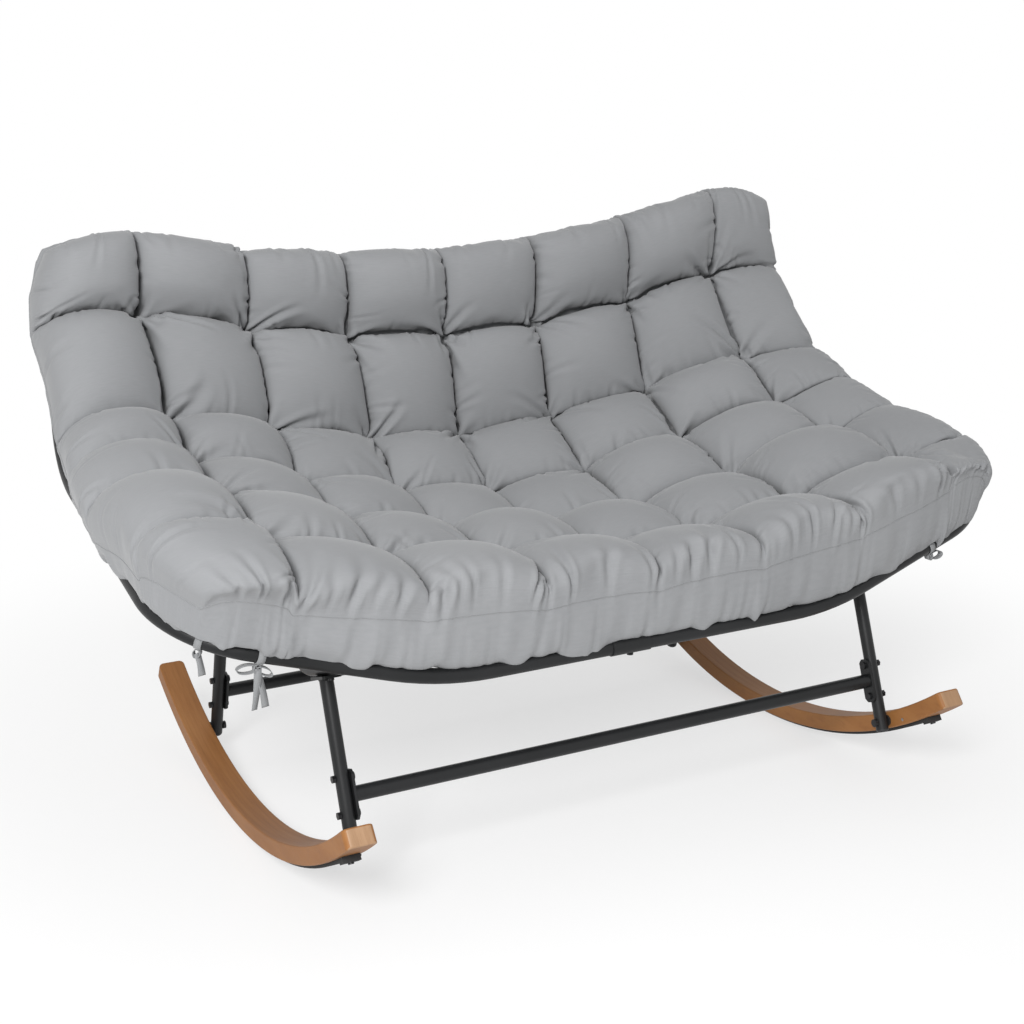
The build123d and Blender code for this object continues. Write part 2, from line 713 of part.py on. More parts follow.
def tape_tail(frame, length, spread, step):
    """A tape end that hangs from the knot, bowed a little forward and set forward by a step."""
    outer = ThreePointArc((0, 0), (-TAIL_BOW, -length / 2), (0, -length))
    inner = outer.moved(Pos(TAPE_THICKNESS, 0, 0))
    ends = [Line(outer @ 0, inner @ 0), Line(outer @ 1, inner @ 1)]
    strip = extrude(Plane.YZ * make_face([outer, inner] + ends), TAPE_WIDTH / 2, both=True)
    return Pos(*knot_point(frame)) * Pos(0, -step, 0) * Rot(0, spread, 0) * strip


def bow_loop(frame, side):
    """One flat loop of the bow, lying along the tube."""
    ring = SlotOverall(LOOP_LENGTH, LOOP_HEIGHT)
    ring -= SlotOverall(LOOP_LENGTH - 2 * TAPE_THICKNESS, LOOP_HEIGHT - 2 * TAPE_THICKNESS)
    place = Plane(origin=knot_point(frame), x_dir=frame.z_dir, z_dir=(0, -1, 0))
    return place * Pos(side * LOOP_LENGTH / 2, 0, 0) * extrude(ring, TAPE_WIDTH / 2, both=True)


def make_tie(x, tails, loops):
    frame = rim_frame(x)
    tie = tape_clip(frame) + Pos(*knot_point(frame)) * Sphere(KNOT_RADIUS)
    for k, (length, spread) in enumerate(tails):
        tie += tape_tail(frame, length, spread, k * TAIL_STEP)
    for side in loops:
        tie += bow_loop(frame, side)
    return tie


GROUPED = (
    "strip_blocks",
    "strip_screws",
    "leg_caps",
    "leg_washers",
    "leg_bolts",
    "rocker_inserts",
    "saddle_plates",
    "saddle_bolts",
    "stretcher_bolts",
    "stretcher_nuts",
)


def main():
    os.makedirs("parts", exist_ok=True)
    left, right = make_rims()
    envelope = rim_envelope()
    rib = make_rib(side_rib_path(), envelope)
    for front in (True, False):
        points, down = saddle_bolt_points(front)
        for p in points:
            inside = p - down * (SADDLE_BOLT_GRIP + CUT_OVERRUN)
            rib -= bar(inside, p + down * CUT_OVERRUN, SADDLE_BOLT_RADIUS + HOLE_CLEARANCE)
    save("rim_left", left)
    save("rim_right", right)
    ends = ((RIM_FRONT_Y, RIM_FRONT_Z), (RIM_BACK_Y, RIM_BACK_Z))
    save("rim_screws", [make_rim_screw(y, z) for y, z in ends])
    save("rib_right", rib)
    save("rib_left", mirror(rib, about=Plane.YZ))
    save("rib_centre", make_rib(centre_rib_path(), envelope))

    rocker = Pos(rocker_centre_x, 0, 0) * make_rocker()
    for front in (True, False):
        rocker -= insert_hole(front)
        rocker -= Pos(rocker_centre_x, 0, 0) * strip_screw_hole(front)
    rocker -= pin_hole()
    save("rocker_right", rocker)
    save("rocker_left", mirror(rocker, about=Plane.YZ))
    save("rocker_pins", both_sides(make_pin()))
    strip = rocker_sector(ROCKER_RADIUS, STRIP_THICKNESS, STRIP_WIDTH, STRIP_FRONT_ANGLE, STRIP_REAR_ANGLE)
    strip = Pos(rocker_centre_x, 0, 0) * strip
    save("rocker_strip_right", strip)
    save("rocker_strip_left", mirror(strip, about=Plane.YZ))

    groups = {name: [] for name in GROUPED}
    for front in (True, False):
        place = "front" if front else "rear"
        leg = make_leg(front)
        save(f"leg_{place}_right", leg)
        save(f"leg_{place}_left", mirror(leg, about=Plane.YZ))
        save(f"stretcher_{place}", make_stretcher(front))
        save(f"stretcher_{place}_plates", both_sides(make_end_plate(front)))
        block = Pos(rocker_centre_x, 0, 0) * (make_block(front) - strip_screw_hole(front))
        groups["strip_blocks"] += both_sides(block)
        groups["strip_screws"] += both_sides(Pos(rocker_centre_x, 0, 0) * strip_screw(front))
        groups["leg_caps"] += both_sides(make_cap(front))
        groups["leg_washers"] += both_sides(make_leg_washer(front))
        groups["leg_bolts"] += both_sides(make_leg_bolt(front))
        groups["rocker_inserts"] += both_sides(make_insert(front))
        groups["saddle_plates"] += both_sides(make_saddle(front))
        for bolt in saddle_bolts(front):
            groups["saddle_bolts"] += both_sides(bolt)
        for bolt in make_end_bolts(front):
            groups["stretcher_bolts"] += both_sides(bolt)
        for nut in make_end_nuts(front):
            groups["stretcher_nuts"] += both_sides(nut)
    for name, solids in groups.items():
        save(name, solids)

    bow_tails = [(BOW_TAIL_LENGTH, TAIL_SPREAD), (BOW_TAIL_LENGTH, -TAIL_SPREAD)]
    save("tie_bow_left", make_tie(BOW_X, bow_tails, (-1, 1)))
    save("tie_tail_left", make_tie(TAIL_X, [(SINGLE_TAIL_LENGTH, TAIL_SPREAD)], ()))
    save("tie_loop_right", make_tie(LOOP_X, [], (1,)))

    lift = cushion_lift()
    save("cushion", make_cushion(Vector(0, 0, lift)))
    print(f"cushion lift {lift:.2f} mm")


main()
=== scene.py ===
"""Looks of the double rocking chair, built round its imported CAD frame. Metres, +Z up."""

import json
import math

import bpy
import numpy as np
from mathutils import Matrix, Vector, kdtree

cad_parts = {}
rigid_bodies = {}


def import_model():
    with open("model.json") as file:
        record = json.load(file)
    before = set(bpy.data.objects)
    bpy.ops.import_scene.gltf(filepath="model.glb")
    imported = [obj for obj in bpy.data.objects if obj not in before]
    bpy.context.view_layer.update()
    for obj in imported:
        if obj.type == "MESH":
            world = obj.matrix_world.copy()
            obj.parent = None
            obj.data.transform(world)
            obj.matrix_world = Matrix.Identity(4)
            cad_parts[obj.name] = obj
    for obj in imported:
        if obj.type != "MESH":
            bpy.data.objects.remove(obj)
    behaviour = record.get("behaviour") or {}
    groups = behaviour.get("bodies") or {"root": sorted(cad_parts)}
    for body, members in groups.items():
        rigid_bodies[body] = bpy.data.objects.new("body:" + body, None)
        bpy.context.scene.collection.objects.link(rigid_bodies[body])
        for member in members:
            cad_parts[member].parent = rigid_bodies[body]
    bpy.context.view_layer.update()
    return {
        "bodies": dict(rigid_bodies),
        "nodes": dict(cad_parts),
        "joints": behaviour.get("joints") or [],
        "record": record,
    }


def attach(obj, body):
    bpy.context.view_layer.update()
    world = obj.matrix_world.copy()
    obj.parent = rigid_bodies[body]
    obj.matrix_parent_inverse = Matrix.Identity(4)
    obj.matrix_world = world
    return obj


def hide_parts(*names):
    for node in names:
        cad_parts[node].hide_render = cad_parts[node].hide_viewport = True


# Camera of the photograph, a square picture
IMAGE_PIXELS = 1024
FOCAL_PIXELS = 1600
SENSOR_MM = 36.0
CAMERA_PLACE = (-1.1905, -2.2203, 1.1391)
CAMERA_LOOK = (0.4487, 0.8520, -0.2699)

# Cushion: (y, z) of its quilting rows on the centre line from the front edge to the top edge, how far
# each lies forward and up at the outer tufts, how late it rises, and its depth behind the tufts
ROWS = [
    (-0.412, 0.362),
    (-0.231, 0.398),
    (-0.040, 0.382),
    (0.120, 0.418),
    (0.262, 0.498),
    (0.316, 0.670),
    (0.332, 0.822),
]
ROW_FORWARD = [-0.015, 0.040, 0.055, 0.070, 0.095, 0.030, 0.030]
ROW_RISE = [0.066, 0.105, 0.135, 0.124, 0.101, 0.068, 0.071]
ROW_BOWL = [3.5, 2.0, 1.7, 1.6, 1.6, 1.8, 2.0]
ROW_DEPTH = [0.034, 0.042, 0.042, 0.042, 0.032, 0.016, 0.015]
COLUMN_PITCH = 0.182
COLUMNS_PER_SIDE = 4
CUSHION_HALF_WIDTH = 0.700
CUSHION_LIFT = 0.0025
EDGE_RISE_SHARE = 1.08
EDGE_FORWARD_SHARE = 1.3
EDGE_HALF = 0.008

# Its border, per quilting row: how far it stands out past the half width and hangs down at the sides, how the
# seat tilts to one side, and how rounded the corners are
LEFT_OUT = [-0.010, 0.010, 0.026, 0.022, 0.012, 0.006, 0.008]
RIGHT_OUT = [-0.022, -0.010, -0.002, 0.008, 0.008, 0.006, 0.004]
LEFT_DROP = [-0.006, 0.012, 0.030, 0.020, 0.006, 0.0, -0.036]
RIGHT_DROP = [-0.004, -0.020, -0.022, -0.014, 0.0, 0.0, 0.0]
SEAT_LEAN = [0.0, 0.012, 0.012, 0.004, 0.0, -0.002, -0.018]
FRONT_ROUND = 0.9
TOP_LEFT_ROUND = 0.9
TOP_RIGHT_ROUND = 0.75

# Its pillows: heights over the quilting surface, how far the sewn lines fade out in the outer pillows, how the
# rows lean to their upper edge and arch, and the uneven filling and tufts
PILLOW_CREST = 0.080
PILLOW_SQUARENESS = 0.75
PILLOW_LEAN = [1.0, 1.0, 1.0, 1.0, 1.25, 1.5]
CREASE_HEIGHT = 0.011
BORDER_CREASE_LOSS = 0.85
TUFT_DEPTH = [0.016, 0.016, 0.016, 0.016, 0.012, 0.003, 0.003]
LEFT_EVENNESS = 0.6
RIGHT_EVENNESS = 0.95
FRONT_EVENNESS = 0.45
EVEN_ROWS = 4
ROW_FULLNESS = [1.0, 1.0, 1.0, 1.0, 0.95, 0.86]
LEFT_FULLNESS = 1.15
RIGHT_FULLNESS = 0.62
FULLNESS_SPREAD = 0.14
TUFT_SPREAD = 0.030
ROW_ARCH = [0.0, 0.0, 0.0, 0.0, 0.0, 0.07, 0.0]
SEED = 7

# Its border seam: how far it is lifted at the front, the (share, columns) of its drop towards each front
# corner, and how far the top edge and the sides roll over it
SEAM_RAISE = 0.058
SEAM_TILT = 0.012
SEAM_RAISE_POWER = 1.3
LEFT_SEAM_DROP = (0.9, 2.5)
RIGHT_SEAM_DROP = (0.9, 1.0)
TOP_ROLL = 0.035
TOP_STRETCH = 0.030
TOP_TUCK = 0.032
LEFT_ROLL = [0.024, 0.014, 0.0, 0.0, 0.018, 0.030, 0.034]
RIGHT_ROLL = [0.022, 0.022, 0.022, 0.020, 0.018, 0.030, 0.034]
ROLL_POWER = 4

# Its underside: how soon it turns under from the seam, in pillows, its share of depth near the front and top,
# its dents under the tufts, its sag inside the border, and how it lies on the hoop
BORDER_ROLL = 0.42
UNDERSIDE_ENDS = ([0.0, 0.2, 0.5], [0.0, 0.8, 1.0])
UNDERSIDE_DENT = 0.009
DENT_ONSET = 0.3
BORDER_SAG = 0.014
BORDER_SAG_REACH = 0.4
HOOP_BITE = 0.002
HOOP_REACH = 0.022
HOOP_PRESS = 1.4
HOOP_REST_ROWS = 2.2
HOOP_REST_BORDER = 0.6

# Gathers that run into the pillows from the tufts, the sewn lines and the border seam: how many or how far
# apart they start, then the ranges of their length, half width and depth; and the lines pressed in with them
TUFT_SPOKES = (6, 10)
SPOKE_JITTER = 0.3
TUFT_GATHER = [(0.035, 0.120), (0.0045, 0.0085), (0.0050, 0.0140)]
CREASE_GATHER_PITCH = (0.012, 0.034)
CREASE_GATHER = [(0.018, 0.070), (0.0035, 0.0060), (0.0016, 0.0060)]
SEAM_GATHER_PITCH = (0.025, 0.075)
SEAM_CLUSTER = 0.020
SEAM_CLUSTER_COUNT = 2
SEAM_GATHER = [(0.035, 0.100), (0.0040, 0.0070), (0.0018, 0.0052)]
FRONT_GATHER = [(0.045, 0.140), (0.0060, 0.0115), (0.0035, 0.0110)]
UNDERSIDE_GATHER = 0.2
GATHER_SKEW = 1.6
GATHER_TURN = 0.5
SEAM_GATHER_TURN = 0.45
GATHER_BEND = 0.3
GATHER_ONSET = 0.010
GATHER_RIDGE = (0.55, 1.6)
SEAM_GROOVE = (0.0030, 0.0045)
CREASE_SLIT = (0.014, 0.0050)
PRESS_SHARE = 0.6

# Cloth simulation that settles the cover, and the mesh it is refined to. A point's side is 1 above, 0 below and
# this level on the seam
SEAM_LEVEL = 0.5
STEPS_PER_PILLOW = 14
REFINE_LEVELS = 2
LINE_SHARPNESS = 0.5
LINE_START = 0.15
ON_LINE = 1e-6
CLOTH_FRAMES = 22
CLOTH_SLACK = 0.09
CLOTH_PRESSURE = 5.0
CLOTH_REACH = 0.022
CREASE_PIN = 0.4
SEAM_PIN = 0.25
UNDERSIDE_PIN = 0.6
TAUT_REACH = 0.05
SEAM_RADIUS = 0.0008

# The hoop's top faces up by more than this, and is read at this many places along each of its edges
CREST_FACING = 0.85
CREST_STEPS = 25

# Cushion tapes: the turn round the hoop, open by an angle and lifted by a share of the thickness, then the knot
HOOP_RADIUS = 0.011
TAPE_WIDTH = 0.010
TAPE_THICKNESS = 0.0009
TAPE_GAP_ANGLE = 110.0
TAPE_LIFT = 1.3
TURN_STEPS = 24
KNOT_DROP = 0.0183
KNOT_HALF_SIZE = (0.0058, 0.0046)
KNOT_TURNS = 1.1
KNOT_GROWTH = 0.05
KNOT_STEPS = 28

# Their hanging ends are (length, angle to the side, forward, curl), their loops (way along, length, height)
BOW_TAILS = [(0.056, 0.16, 0.001, 0.004), (0.056, -0.13, 0.004, 0.003)]
BOW_LOOPS = [(1, 0.026, 0.012), (-1, 0.022, 0.010)]
LOOSE_TAIL = (0.032, 0.14, 0.001, 0.003)
LOOSE_LOOP = (1, 0.026, 0.014)
TAIL_STEPS = 16
LOOP_STEPS = 24
LOOP_DROOP = 0.25

# The hoop's axis at each knot and the way along it
BOW_AXIS = ((-0.5760, -0.3575, 0.4060), (-0.955, 0.095, 0.280))
TAIL_AXIS = ((-0.6460, -0.3336, 0.4300), (-0.758, 0.567, 0.322))
LOOP_AXIS = ((0.5400, -0.3611, 0.3955), (0.955, 0.095, 0.280))

# Stage: the floor's own shade, the share of backdrop white over it near the chair and the distances between
# which that grows to 1. Lamps are (place, target, size, watts)
FLOOR_SIZE = 40.0
FLOOR_SHADE = 0.92
FLOOR_GLOW = 0.60
FLOOR_FADE = (0.7, 1.6)
WORLD_LIGHT = 0.45
KEY_LAMP = ((-2.1, -2.6, 2.2), (0, 0, 0.5), 1.2, 133)
TOP_LAMP = ((0.6, 0.4, 3.6), (0, 0, 0.4), 2.6, 15)

# Cloth: colours of its dark and light yarn and its thread width; the wave texture's period at scale 1
CUSHION_CLOTH = ((0.222, 0.227, 0.235), (0.259, 0.264, 0.272), 0.0011)
TAPE_CLOTH = ((0.20, 0.205, 0.21), (0.24, 0.245, 0.25), 0.0008)
WAVE_PERIOD = 0.31

# A rocker's sawn ends face along Y by more than this; their paler colour is partly painted light
END_FACING = 0.7

# Starts of the names of the CAD nodes with each finish
FASTENER_NODES = (
    "rim_screws",
    "saddle_bolts",
    "stretcher_bolts",
    "stretcher_nuts",
    "strip_screws",
    "leg_bolts",
)
BLACK_NODES = (
    "rim_",
    "rib_",
    "leg_front",
    "leg_rear",
    "stretcher_front",
    "stretcher_rear",
    "saddle_plates",
)
RUBBER_NODES = ("rocker_strip", "strip_blocks")
PLASTIC_NODES = ("leg_caps", "leg_washers")


# Shader helpers
class Nodes:
    """A short way to build one material's nodes."""

    def __init__(self, name):
        self.material = bpy.data.materials.new(name)
        self.material.use_nodes = True
        self.tree = self.material.node_tree
        self.shader = self.tree.nodes["Principled BSDF"]

    def add(self, kind, inputs=None, **settings):
        node = self.tree.nodes.new(kind)
        for key, value in settings.items():
            setattr(node, key, value)
        for key, value in (inputs or {}).items():
            if isinstance(value, bpy.types.NodeSocket):
                self.tree.links.new(value, node.inputs[key])
            else:
                node.inputs[key].default_value = value
        return node

    def set(self, **values):
        for key, value in values.items():
            socket = self.shader.inputs[key.replace("_", " ")]
            if isinstance(value, bpy.types.NodeSocket):
                self.tree.links.new(value, socket)
            else:
                socket.default_value = value

    def coordinates(self, source, scale=(1, 1, 1)):
        place = self.add("ShaderNodeTexCoord")
        mapping = self.add("ShaderNodeMapping", {"Vector": place.outputs[source]})
        mapping.inputs["Scale"].default_value = scale
        return mapping.outputs["Vector"]

    def noise(self, vector, scale, detail=3.0, roughness=0.5):
        inputs = {"Vector": vector, "Scale": scale, "Detail": detail, "Roughness": roughness}
        return self.add("ShaderNodeTexNoise", inputs).outputs["Fac"]

    def ramp(self, fac, stops):
        node = self.add("ShaderNodeValToRGB", {"Fac": fac})
        elements = node.color_ramp.elements
        while len(elements) < len(stops):
            elements.new(0.5)
        for element, (place, colour) in zip(elements, stops):
            element.position = place
            element.color = (*colour, 1.0)
        return node.outputs["Color"]

    def value_range(self, fac, low, high):
        return self.add("ShaderNodeMapRange", {"Value": fac, "To Min": low, "To Max": high}).outputs["Result"]

    def math(self, operation, a, b):
        return self.add("ShaderNodeMath", {0: a, 1: b}, operation=operation).outputs["Value"]

    def mix(self, blend, factor, a, b):
        node = self.add("ShaderNodeMix", {"Factor": factor}, data_type="RGBA", blend_type=blend)
        self.tree.links.new(a, node.inputs["A"])
        self.tree.links.new(b, node.inputs["B"])
        return node.outputs["Result"]

    def bump(self, height, strength, distance):
        inputs = {"Height": height, "Strength": strength, "Distance": distance}
        return self.add("ShaderNodeBump", inputs).outputs["Normal"]


def powder_coat():
    """Satin black powder coat with a fine orange peel."""
    n = Nodes("powder_coat_black")
    where = n.coordinates("Object")
    peel = n.noise(where, 900.0, 2.0)
    cloud = n.noise(where, 9.0, 4.0)
    n.set(
        Base_Color=n.ramp(cloud, [(0.3, (0.009, 0.0095, 0.010)), (0.75, (0.014, 0.0145, 0.0155))]),
        Roughness=n.value_range(cloud, 0.34, 0.46),
        Normal=n.bump(peel, 0.12, 0.0004),
        Specular_IOR_Level=0.26,
    )
    return n.material


def fastener_finish():
    """Black zinc of the screws and bolts, a little worn."""
    n = Nodes("black_zinc")
    where = n.coordinates("Object")
    wear = n.noise(where, 140.0, 4.0)
    n.set(
        Base_Color=n.ramp(wear, [(0.35, (0.012, 0.012, 0.013)), (0.8, (0.035, 0.035, 0.037))]),
        Roughness=n.value_range(wear, 0.3, 0.5),
        Metallic=0.6,
    )
    return n.material


def rubber():
    """Grained black rubber of the rockers' strips."""
    n = Nodes("black_rubber")
    where = n.coordinates("Object")
    grain = n.noise(where, 420.0, 3.0)
    n.set(
        Base_Color=n.ramp(grain, [(0.3, (0.012, 0.012, 0.012)), (0.8, (0.022, 0.022, 0.023))]),
        Roughness=n.value_range(grain, 0.7, 0.9),
        Normal=n.bump(grain, 0.25, 0.0005),
    )
    return n.material


def plastic():
    """Black moulded plastic of the plugs and washers."""
    n = Nodes("black_plastic")
    where = n.coordinates("Object")
    grain = n.noise(where, 700.0, 2.0)
    n.set(
        Base_Color=n.ramp(grain, [(0.3, (0.010, 0.010, 0.011)), (0.8, (0.017, 0.017, 0.018))]),
        Roughness=n.value_range(grain, 0.42, 0.55),
        Normal=n.bump(grain, 0.15, 0.0003),
    )
    return n.material


def brass():
    """Tarnished brass of the threaded inserts."""
    n = Nodes("insert_brass")
    where = n.coordinates("Object")
    tarnish = n.noise(where, 160.0, 3.0)
    n.set(
        Base_Color=n.ramp(tarnish, [(0.3, (0.42, 0.27, 0.09)), (0.8, (0.56, 0.39, 0.15))]),
        Roughness=n.value_range(tarnish, 0.3, 0.5),
        Metallic=1.0,
    )
    return n.material


def steel():
    """Brushed steel of the rockers' pins."""
    n = Nodes("pin_steel")
    brushing = n.noise(n.coordinates("Object", (60.0, 900.0, 900.0)), 1.0, 3.0)
    n.set(
        Base_Color=n.ramp(brushing, [(0.3, (0.34, 0.34, 0.35)), (0.8, (0.46, 0.46, 0.47))]),
        Roughness=n.value_range(brushing, 0.3, 0.45),
        Metallic=1.0,
    )
    return n.material


def wood():
    """Bent beech, stained tan: long grain along Y and Z, short pores, sawn ends painted paler, partly as end
    grain and partly as painted light, and a soft lacquer.
    """
    n = Nodes("rocker_beech")
    long_grain = n.noise(n.coordinates("Object", (70.0, 2.2, 9.0)), 2.4, 5.0, 0.6)
    pores = n.noise(n.coordinates("Object", (520.0, 22.0, 60.0)), 1.6, 3.0, 0.65)
    cloud = n.noise(n.coordinates("Object"), 3.0, 3.0)
    tone = n.math("ADD", n.math("MULTIPLY", long_grain, 0.65), n.math("MULTIPLY", cloud, 0.35))
    stain = [(0.25, (0.200, 0.076, 0.020)), (0.5, (0.264, 0.111, 0.032)), (0.78, (0.330, 0.152, 0.050))]
    stained = n.ramp(tone, stain)
    # Colour of the sawn ends: paler than the sides, partly the end grain's own tone and partly painted light
    sawn_and_lit = n.ramp(tone, [(0.25, (0.262, 0.152, 0.081)), (0.78, (0.388, 0.239, 0.140))])
    facing = n.add("ShaderNodeSeparateXYZ", {"Vector": n.add("ShaderNodeNewGeometry").outputs["Normal"]})
    at_end = n.math("GREATER_THAN", n.math("ABSOLUTE", facing.outputs["Y"], 0.0), END_FACING)
    colour = n.mix("MIX", at_end, stained, sawn_and_lit)
    flecks = n.ramp(pores, [(0.30, (0.80, 0.76, 0.72)), (0.48, (1.0, 1.0, 1.0))])
    n.set(
        Base_Color=n.mix("MULTIPLY", 0.55, colour, flecks),
        Roughness=n.value_range(pores, 0.46, 0.60),
        Normal=n.bump(pores, 0.08, 0.0004),
        Specular_IOR_Level=0.3,
    )
    return n.material


def woven(name, dark, light, thread):
    """Plain-woven cloth: threads of the given width in UV metres, with soft tone changes between yarns."""
    n = Nodes(name)
    waves = {"Vector": n.coordinates("UV"), "Scale": WAVE_PERIOD / thread, "Distortion": 0.6}
    warp = n.add("ShaderNodeTexWave", waves)
    weft = n.add("ShaderNodeTexWave", waves, bands_direction="Y")
    weave = n.math("MULTIPLY", warp.outputs["Fac"], weft.outputs["Fac"])
    slub = n.noise(n.coordinates("UV", (60.0, 900.0, 1.0)), 1.0, 3.0)
    cloud = n.noise(n.coordinates("Object"), 4.5, 4.0)
    tone = n.math("ADD", n.math("MULTIPLY", slub, 0.4), n.math("MULTIPLY", cloud, 0.6))
    n.set(
        Base_Color=n.ramp(tone, [(0.3, dark), (0.7, light)]),
        Roughness=n.value_range(weave, 0.82, 0.95),
        Normal=n.bump(weave, 0.22, 0.0006),
        Sheen_Weight=0.18,
        Sheen_Roughness=0.5,
        Specular_IOR_Level=0.25,
    )
    return n.material


# Cushion
def along_rows(values, s):
    """Smooth curve through one value per quilting row, at s rows from the front edge."""
    v = np.asarray(values, float)
    v = np.concatenate([[2 * v[0] - v[1]], v, [2 * v[-1] - v[-2]]])
    k = np.clip(np.floor(s).astype(int), 0, len(values) - 2)
    f = s - k
    p0, p1, p2, p3 = (v[k + i] for i in range(4))
    return p1 + 0.5 * f * (p2 - p0 + f * (2 * p0 - 5 * p1 + 4 * p2 - p3 + f * (3 * (p1 - p2) + p3 - p0)))


def crown(f):
    """Half-round swell across a pillow, 0 at its edges and 1 in its middle."""
    return 2 * np.sqrt(np.clip(f * (1 - f), 0, 1))


def stations(pillows):
    """Positions across a run of pillows, closer together towards the creases."""
    even = np.arange(STEPS_PER_PILLOW) / STEPS_PER_PILLOW
    steps = even / 2 + (1 - np.cos(np.pi * even)) / 4
    return np.concatenate([[k + f for f in steps] for k in range(pillows)] + [[pillows]])


def quilting_surface(s, c):
    """The surface through the tufts, at s rows from the front and c columns from the middle."""
    last = len(ROWS) - 1
    outer = COLUMNS_PER_SIDE - 1
    front = np.clip(1 - s, 0, 1)
    top = np.clip(s - last + 1, 0, 1)
    past = np.clip(np.abs(c) - outer, 0, 1)
    turn = np.where(front > 0, FRONT_ROUND, np.where(c < 0, TOP_LEFT_ROUND, TOP_RIGHT_ROUND))
    end = (front + top) * np.sqrt(1 - turn * past**2 / 2)
    past = past * np.sqrt(1 - turn * (front + top) ** 2 / 2)
    s = np.where(front > 0, 1 - end, np.where(top > 0, last - 1 + end, s))
    a = np.minimum(np.abs(c), outer)
    out = np.where(c < 0, along_rows(LEFT_OUT, s), along_rows(RIGHT_OUT, s))
    x = np.sign(c) * (a * COLUMN_PITCH + past * (CUSHION_HALF_WIDTH + out - outer * COLUMN_PITCH))
    share = (a / outer) ** along_rows(ROW_BOWL, s)
    rise = along_rows(ROW_RISE, s) * (share + (EDGE_RISE_SHARE - 1) * past)
    forward = along_rows(ROW_FORWARD, s) * (share + (EDGE_FORWARD_SHARE - 1) * past)
    drop = np.where(c < 0, along_rows(LEFT_DROP, s), along_rows(RIGHT_DROP, s)) * past**2
    lean = along_rows(SEAT_LEAN, s) * c / COLUMNS_PER_SIDE
    y = along_rows([y for y, z in ROWS], s) - forward
    z = along_rows([z for y, z in ROWS], s) + rise + CUSHION_LIFT - drop - lean
    return np.stack([x, y, z], -1)


def unit(v):
    """Vectors of length 1 along the given ones."""
    return v / np.linalg.norm(v, axis=-1, keepdims=True)


class Quilt:
    """The grid of the cushion's cover: where each point lies in its pillow and how near the border it is."""

    def __init__(self):
        self.random = np.random.default_rng(SEED)
        rows = len(ROWS) - 1
        columns = 2 * COLUMNS_PER_SIDE
        self.s, column = np.meshgrid(stations(rows), stations(columns), indexing="ij")
        self.c = column - COLUMNS_PER_SIDE
        self.row = np.minimum(np.floor(self.s), rows - 1).astype(int)
        self.column = np.minimum(np.floor(column), columns - 1).astype(int)
        self.in_row = self.s - self.row
        self.in_column = column - self.column
        self.row_swell = crown(self.in_row ** np.array(PILLOW_LEAN)[self.row])
        self.column_swell = crown(self.in_column)
        self.to_front = self.s
        self.to_top = rows - self.s
        self.to_side = COLUMNS_PER_SIDE - np.abs(self.c)
        self.to_border = np.minimum(np.minimum(self.to_front, self.to_top), self.to_side)
        self.below = np.sqrt(1 - np.clip(1 - self.to_border / BORDER_ROLL, 0, 1) ** 2)
        shift = self.tuft_shift(rows, columns)
        arch = along_rows(ROW_ARCH, self.s) * self.column_swell**2
        self.surface = quilting_surface(self.s + shift[0] + arch, self.c + shift[1])
        self.normal = unit(np.cross(np.gradient(self.surface, axis=1), np.gradient(self.surface, axis=0)))
        middle = np.gradient(self.surface[:, self.s.shape[1] // 2], axis=0)
        self.along = unit(middle)[:, None, :]
        self.length = np.concatenate([[0], np.cumsum(np.linalg.norm(middle, axis=1))[:-1]])

    def tuft_shift(self, rows, columns):
        """Small offsets of the tufts from their even grid, in rows and columns, none at the border."""
        shifts = []
        for _ in range(2):
            offsets = np.zeros((rows + 1, columns + 1))
            offsets[1:-1, 1:-1] = self.random.uniform(-TUFT_SPREAD, TUFT_SPREAD, (rows - 1, columns - 1))
            r, k, f, g = self.row, self.column, self.in_row, self.in_column
            near = offsets[r, k] * (1 - g) + offsets[r, k + 1] * g
            far = offsets[r + 1, k] * (1 - g) + offsets[r + 1, k + 1] * g
            shifts.append(near * (1 - f) + far * f)
        return shifts


def draw_gather(random, start, heading, kind):
    """One gather from a cloth point: its start, heading, length, half width, depth and bend."""
    length, width, depth = (low + (high - low) * random.uniform() ** GATHER_SKEW for low, high in kind)
    return start, heading, length, width, depth, random.uniform(-GATHER_BEND, GATHER_BEND)


def tuft_gathers(quilt):
    """Spokes that run out from each tuft into its pillows."""
    gathers = []
    for row in range(1, len(ROWS) - 1):
        for column in range(1 - COLUMNS_PER_SIDE, COLUMNS_PER_SIDE):
            start = (column * COLUMN_PITCH, quilt.length[row * STEPS_PER_PILLOW])
            count = quilt.random.integers(*TUFT_SPOKES)
            first = quilt.random.uniform(0, 1)
            for k in range(count):
                heading = 2 * math.pi * (k + first + quilt.random.uniform(-SPOKE_JITTER, SPOKE_JITTER)) / count
                gathers.append(draw_gather(quilt.random, start, heading, TUFT_GATHER))
    return gathers


def spread_places(quilt, length, pitch):
    """Uneven places along a line."""
    places = np.cumsum(quilt.random.uniform(*pitch, int(length / pitch[0]) + 1))
    return places[places < length]


def seam_places(quilt, stops):
    """Places along the border seam: some at each sewn line that meets it, and a few between."""
    clusters = quilt.random.normal(stops[1:-1], SEAM_CLUSTER, (SEAM_CLUSTER_COUNT, len(stops) - 2))
    return np.concatenate([clusters.ravel(), spread_places(quilt, stops[-1], SEAM_GATHER_PITCH)])


def line_gathers(quilt, start, way, places, headings, turn, kind):
    """Puckers at places along a line, each on about one of the given headings."""
    gathers = []
    for at in places:
        heading = quilt.random.choice(headings) + quilt.random.uniform(-turn, turn)
        place = (start[0] + way[0] * at, start[1] + way[1] * at)
        gathers.append(draw_gather(quilt.random, place, heading, kind))
    return gathers


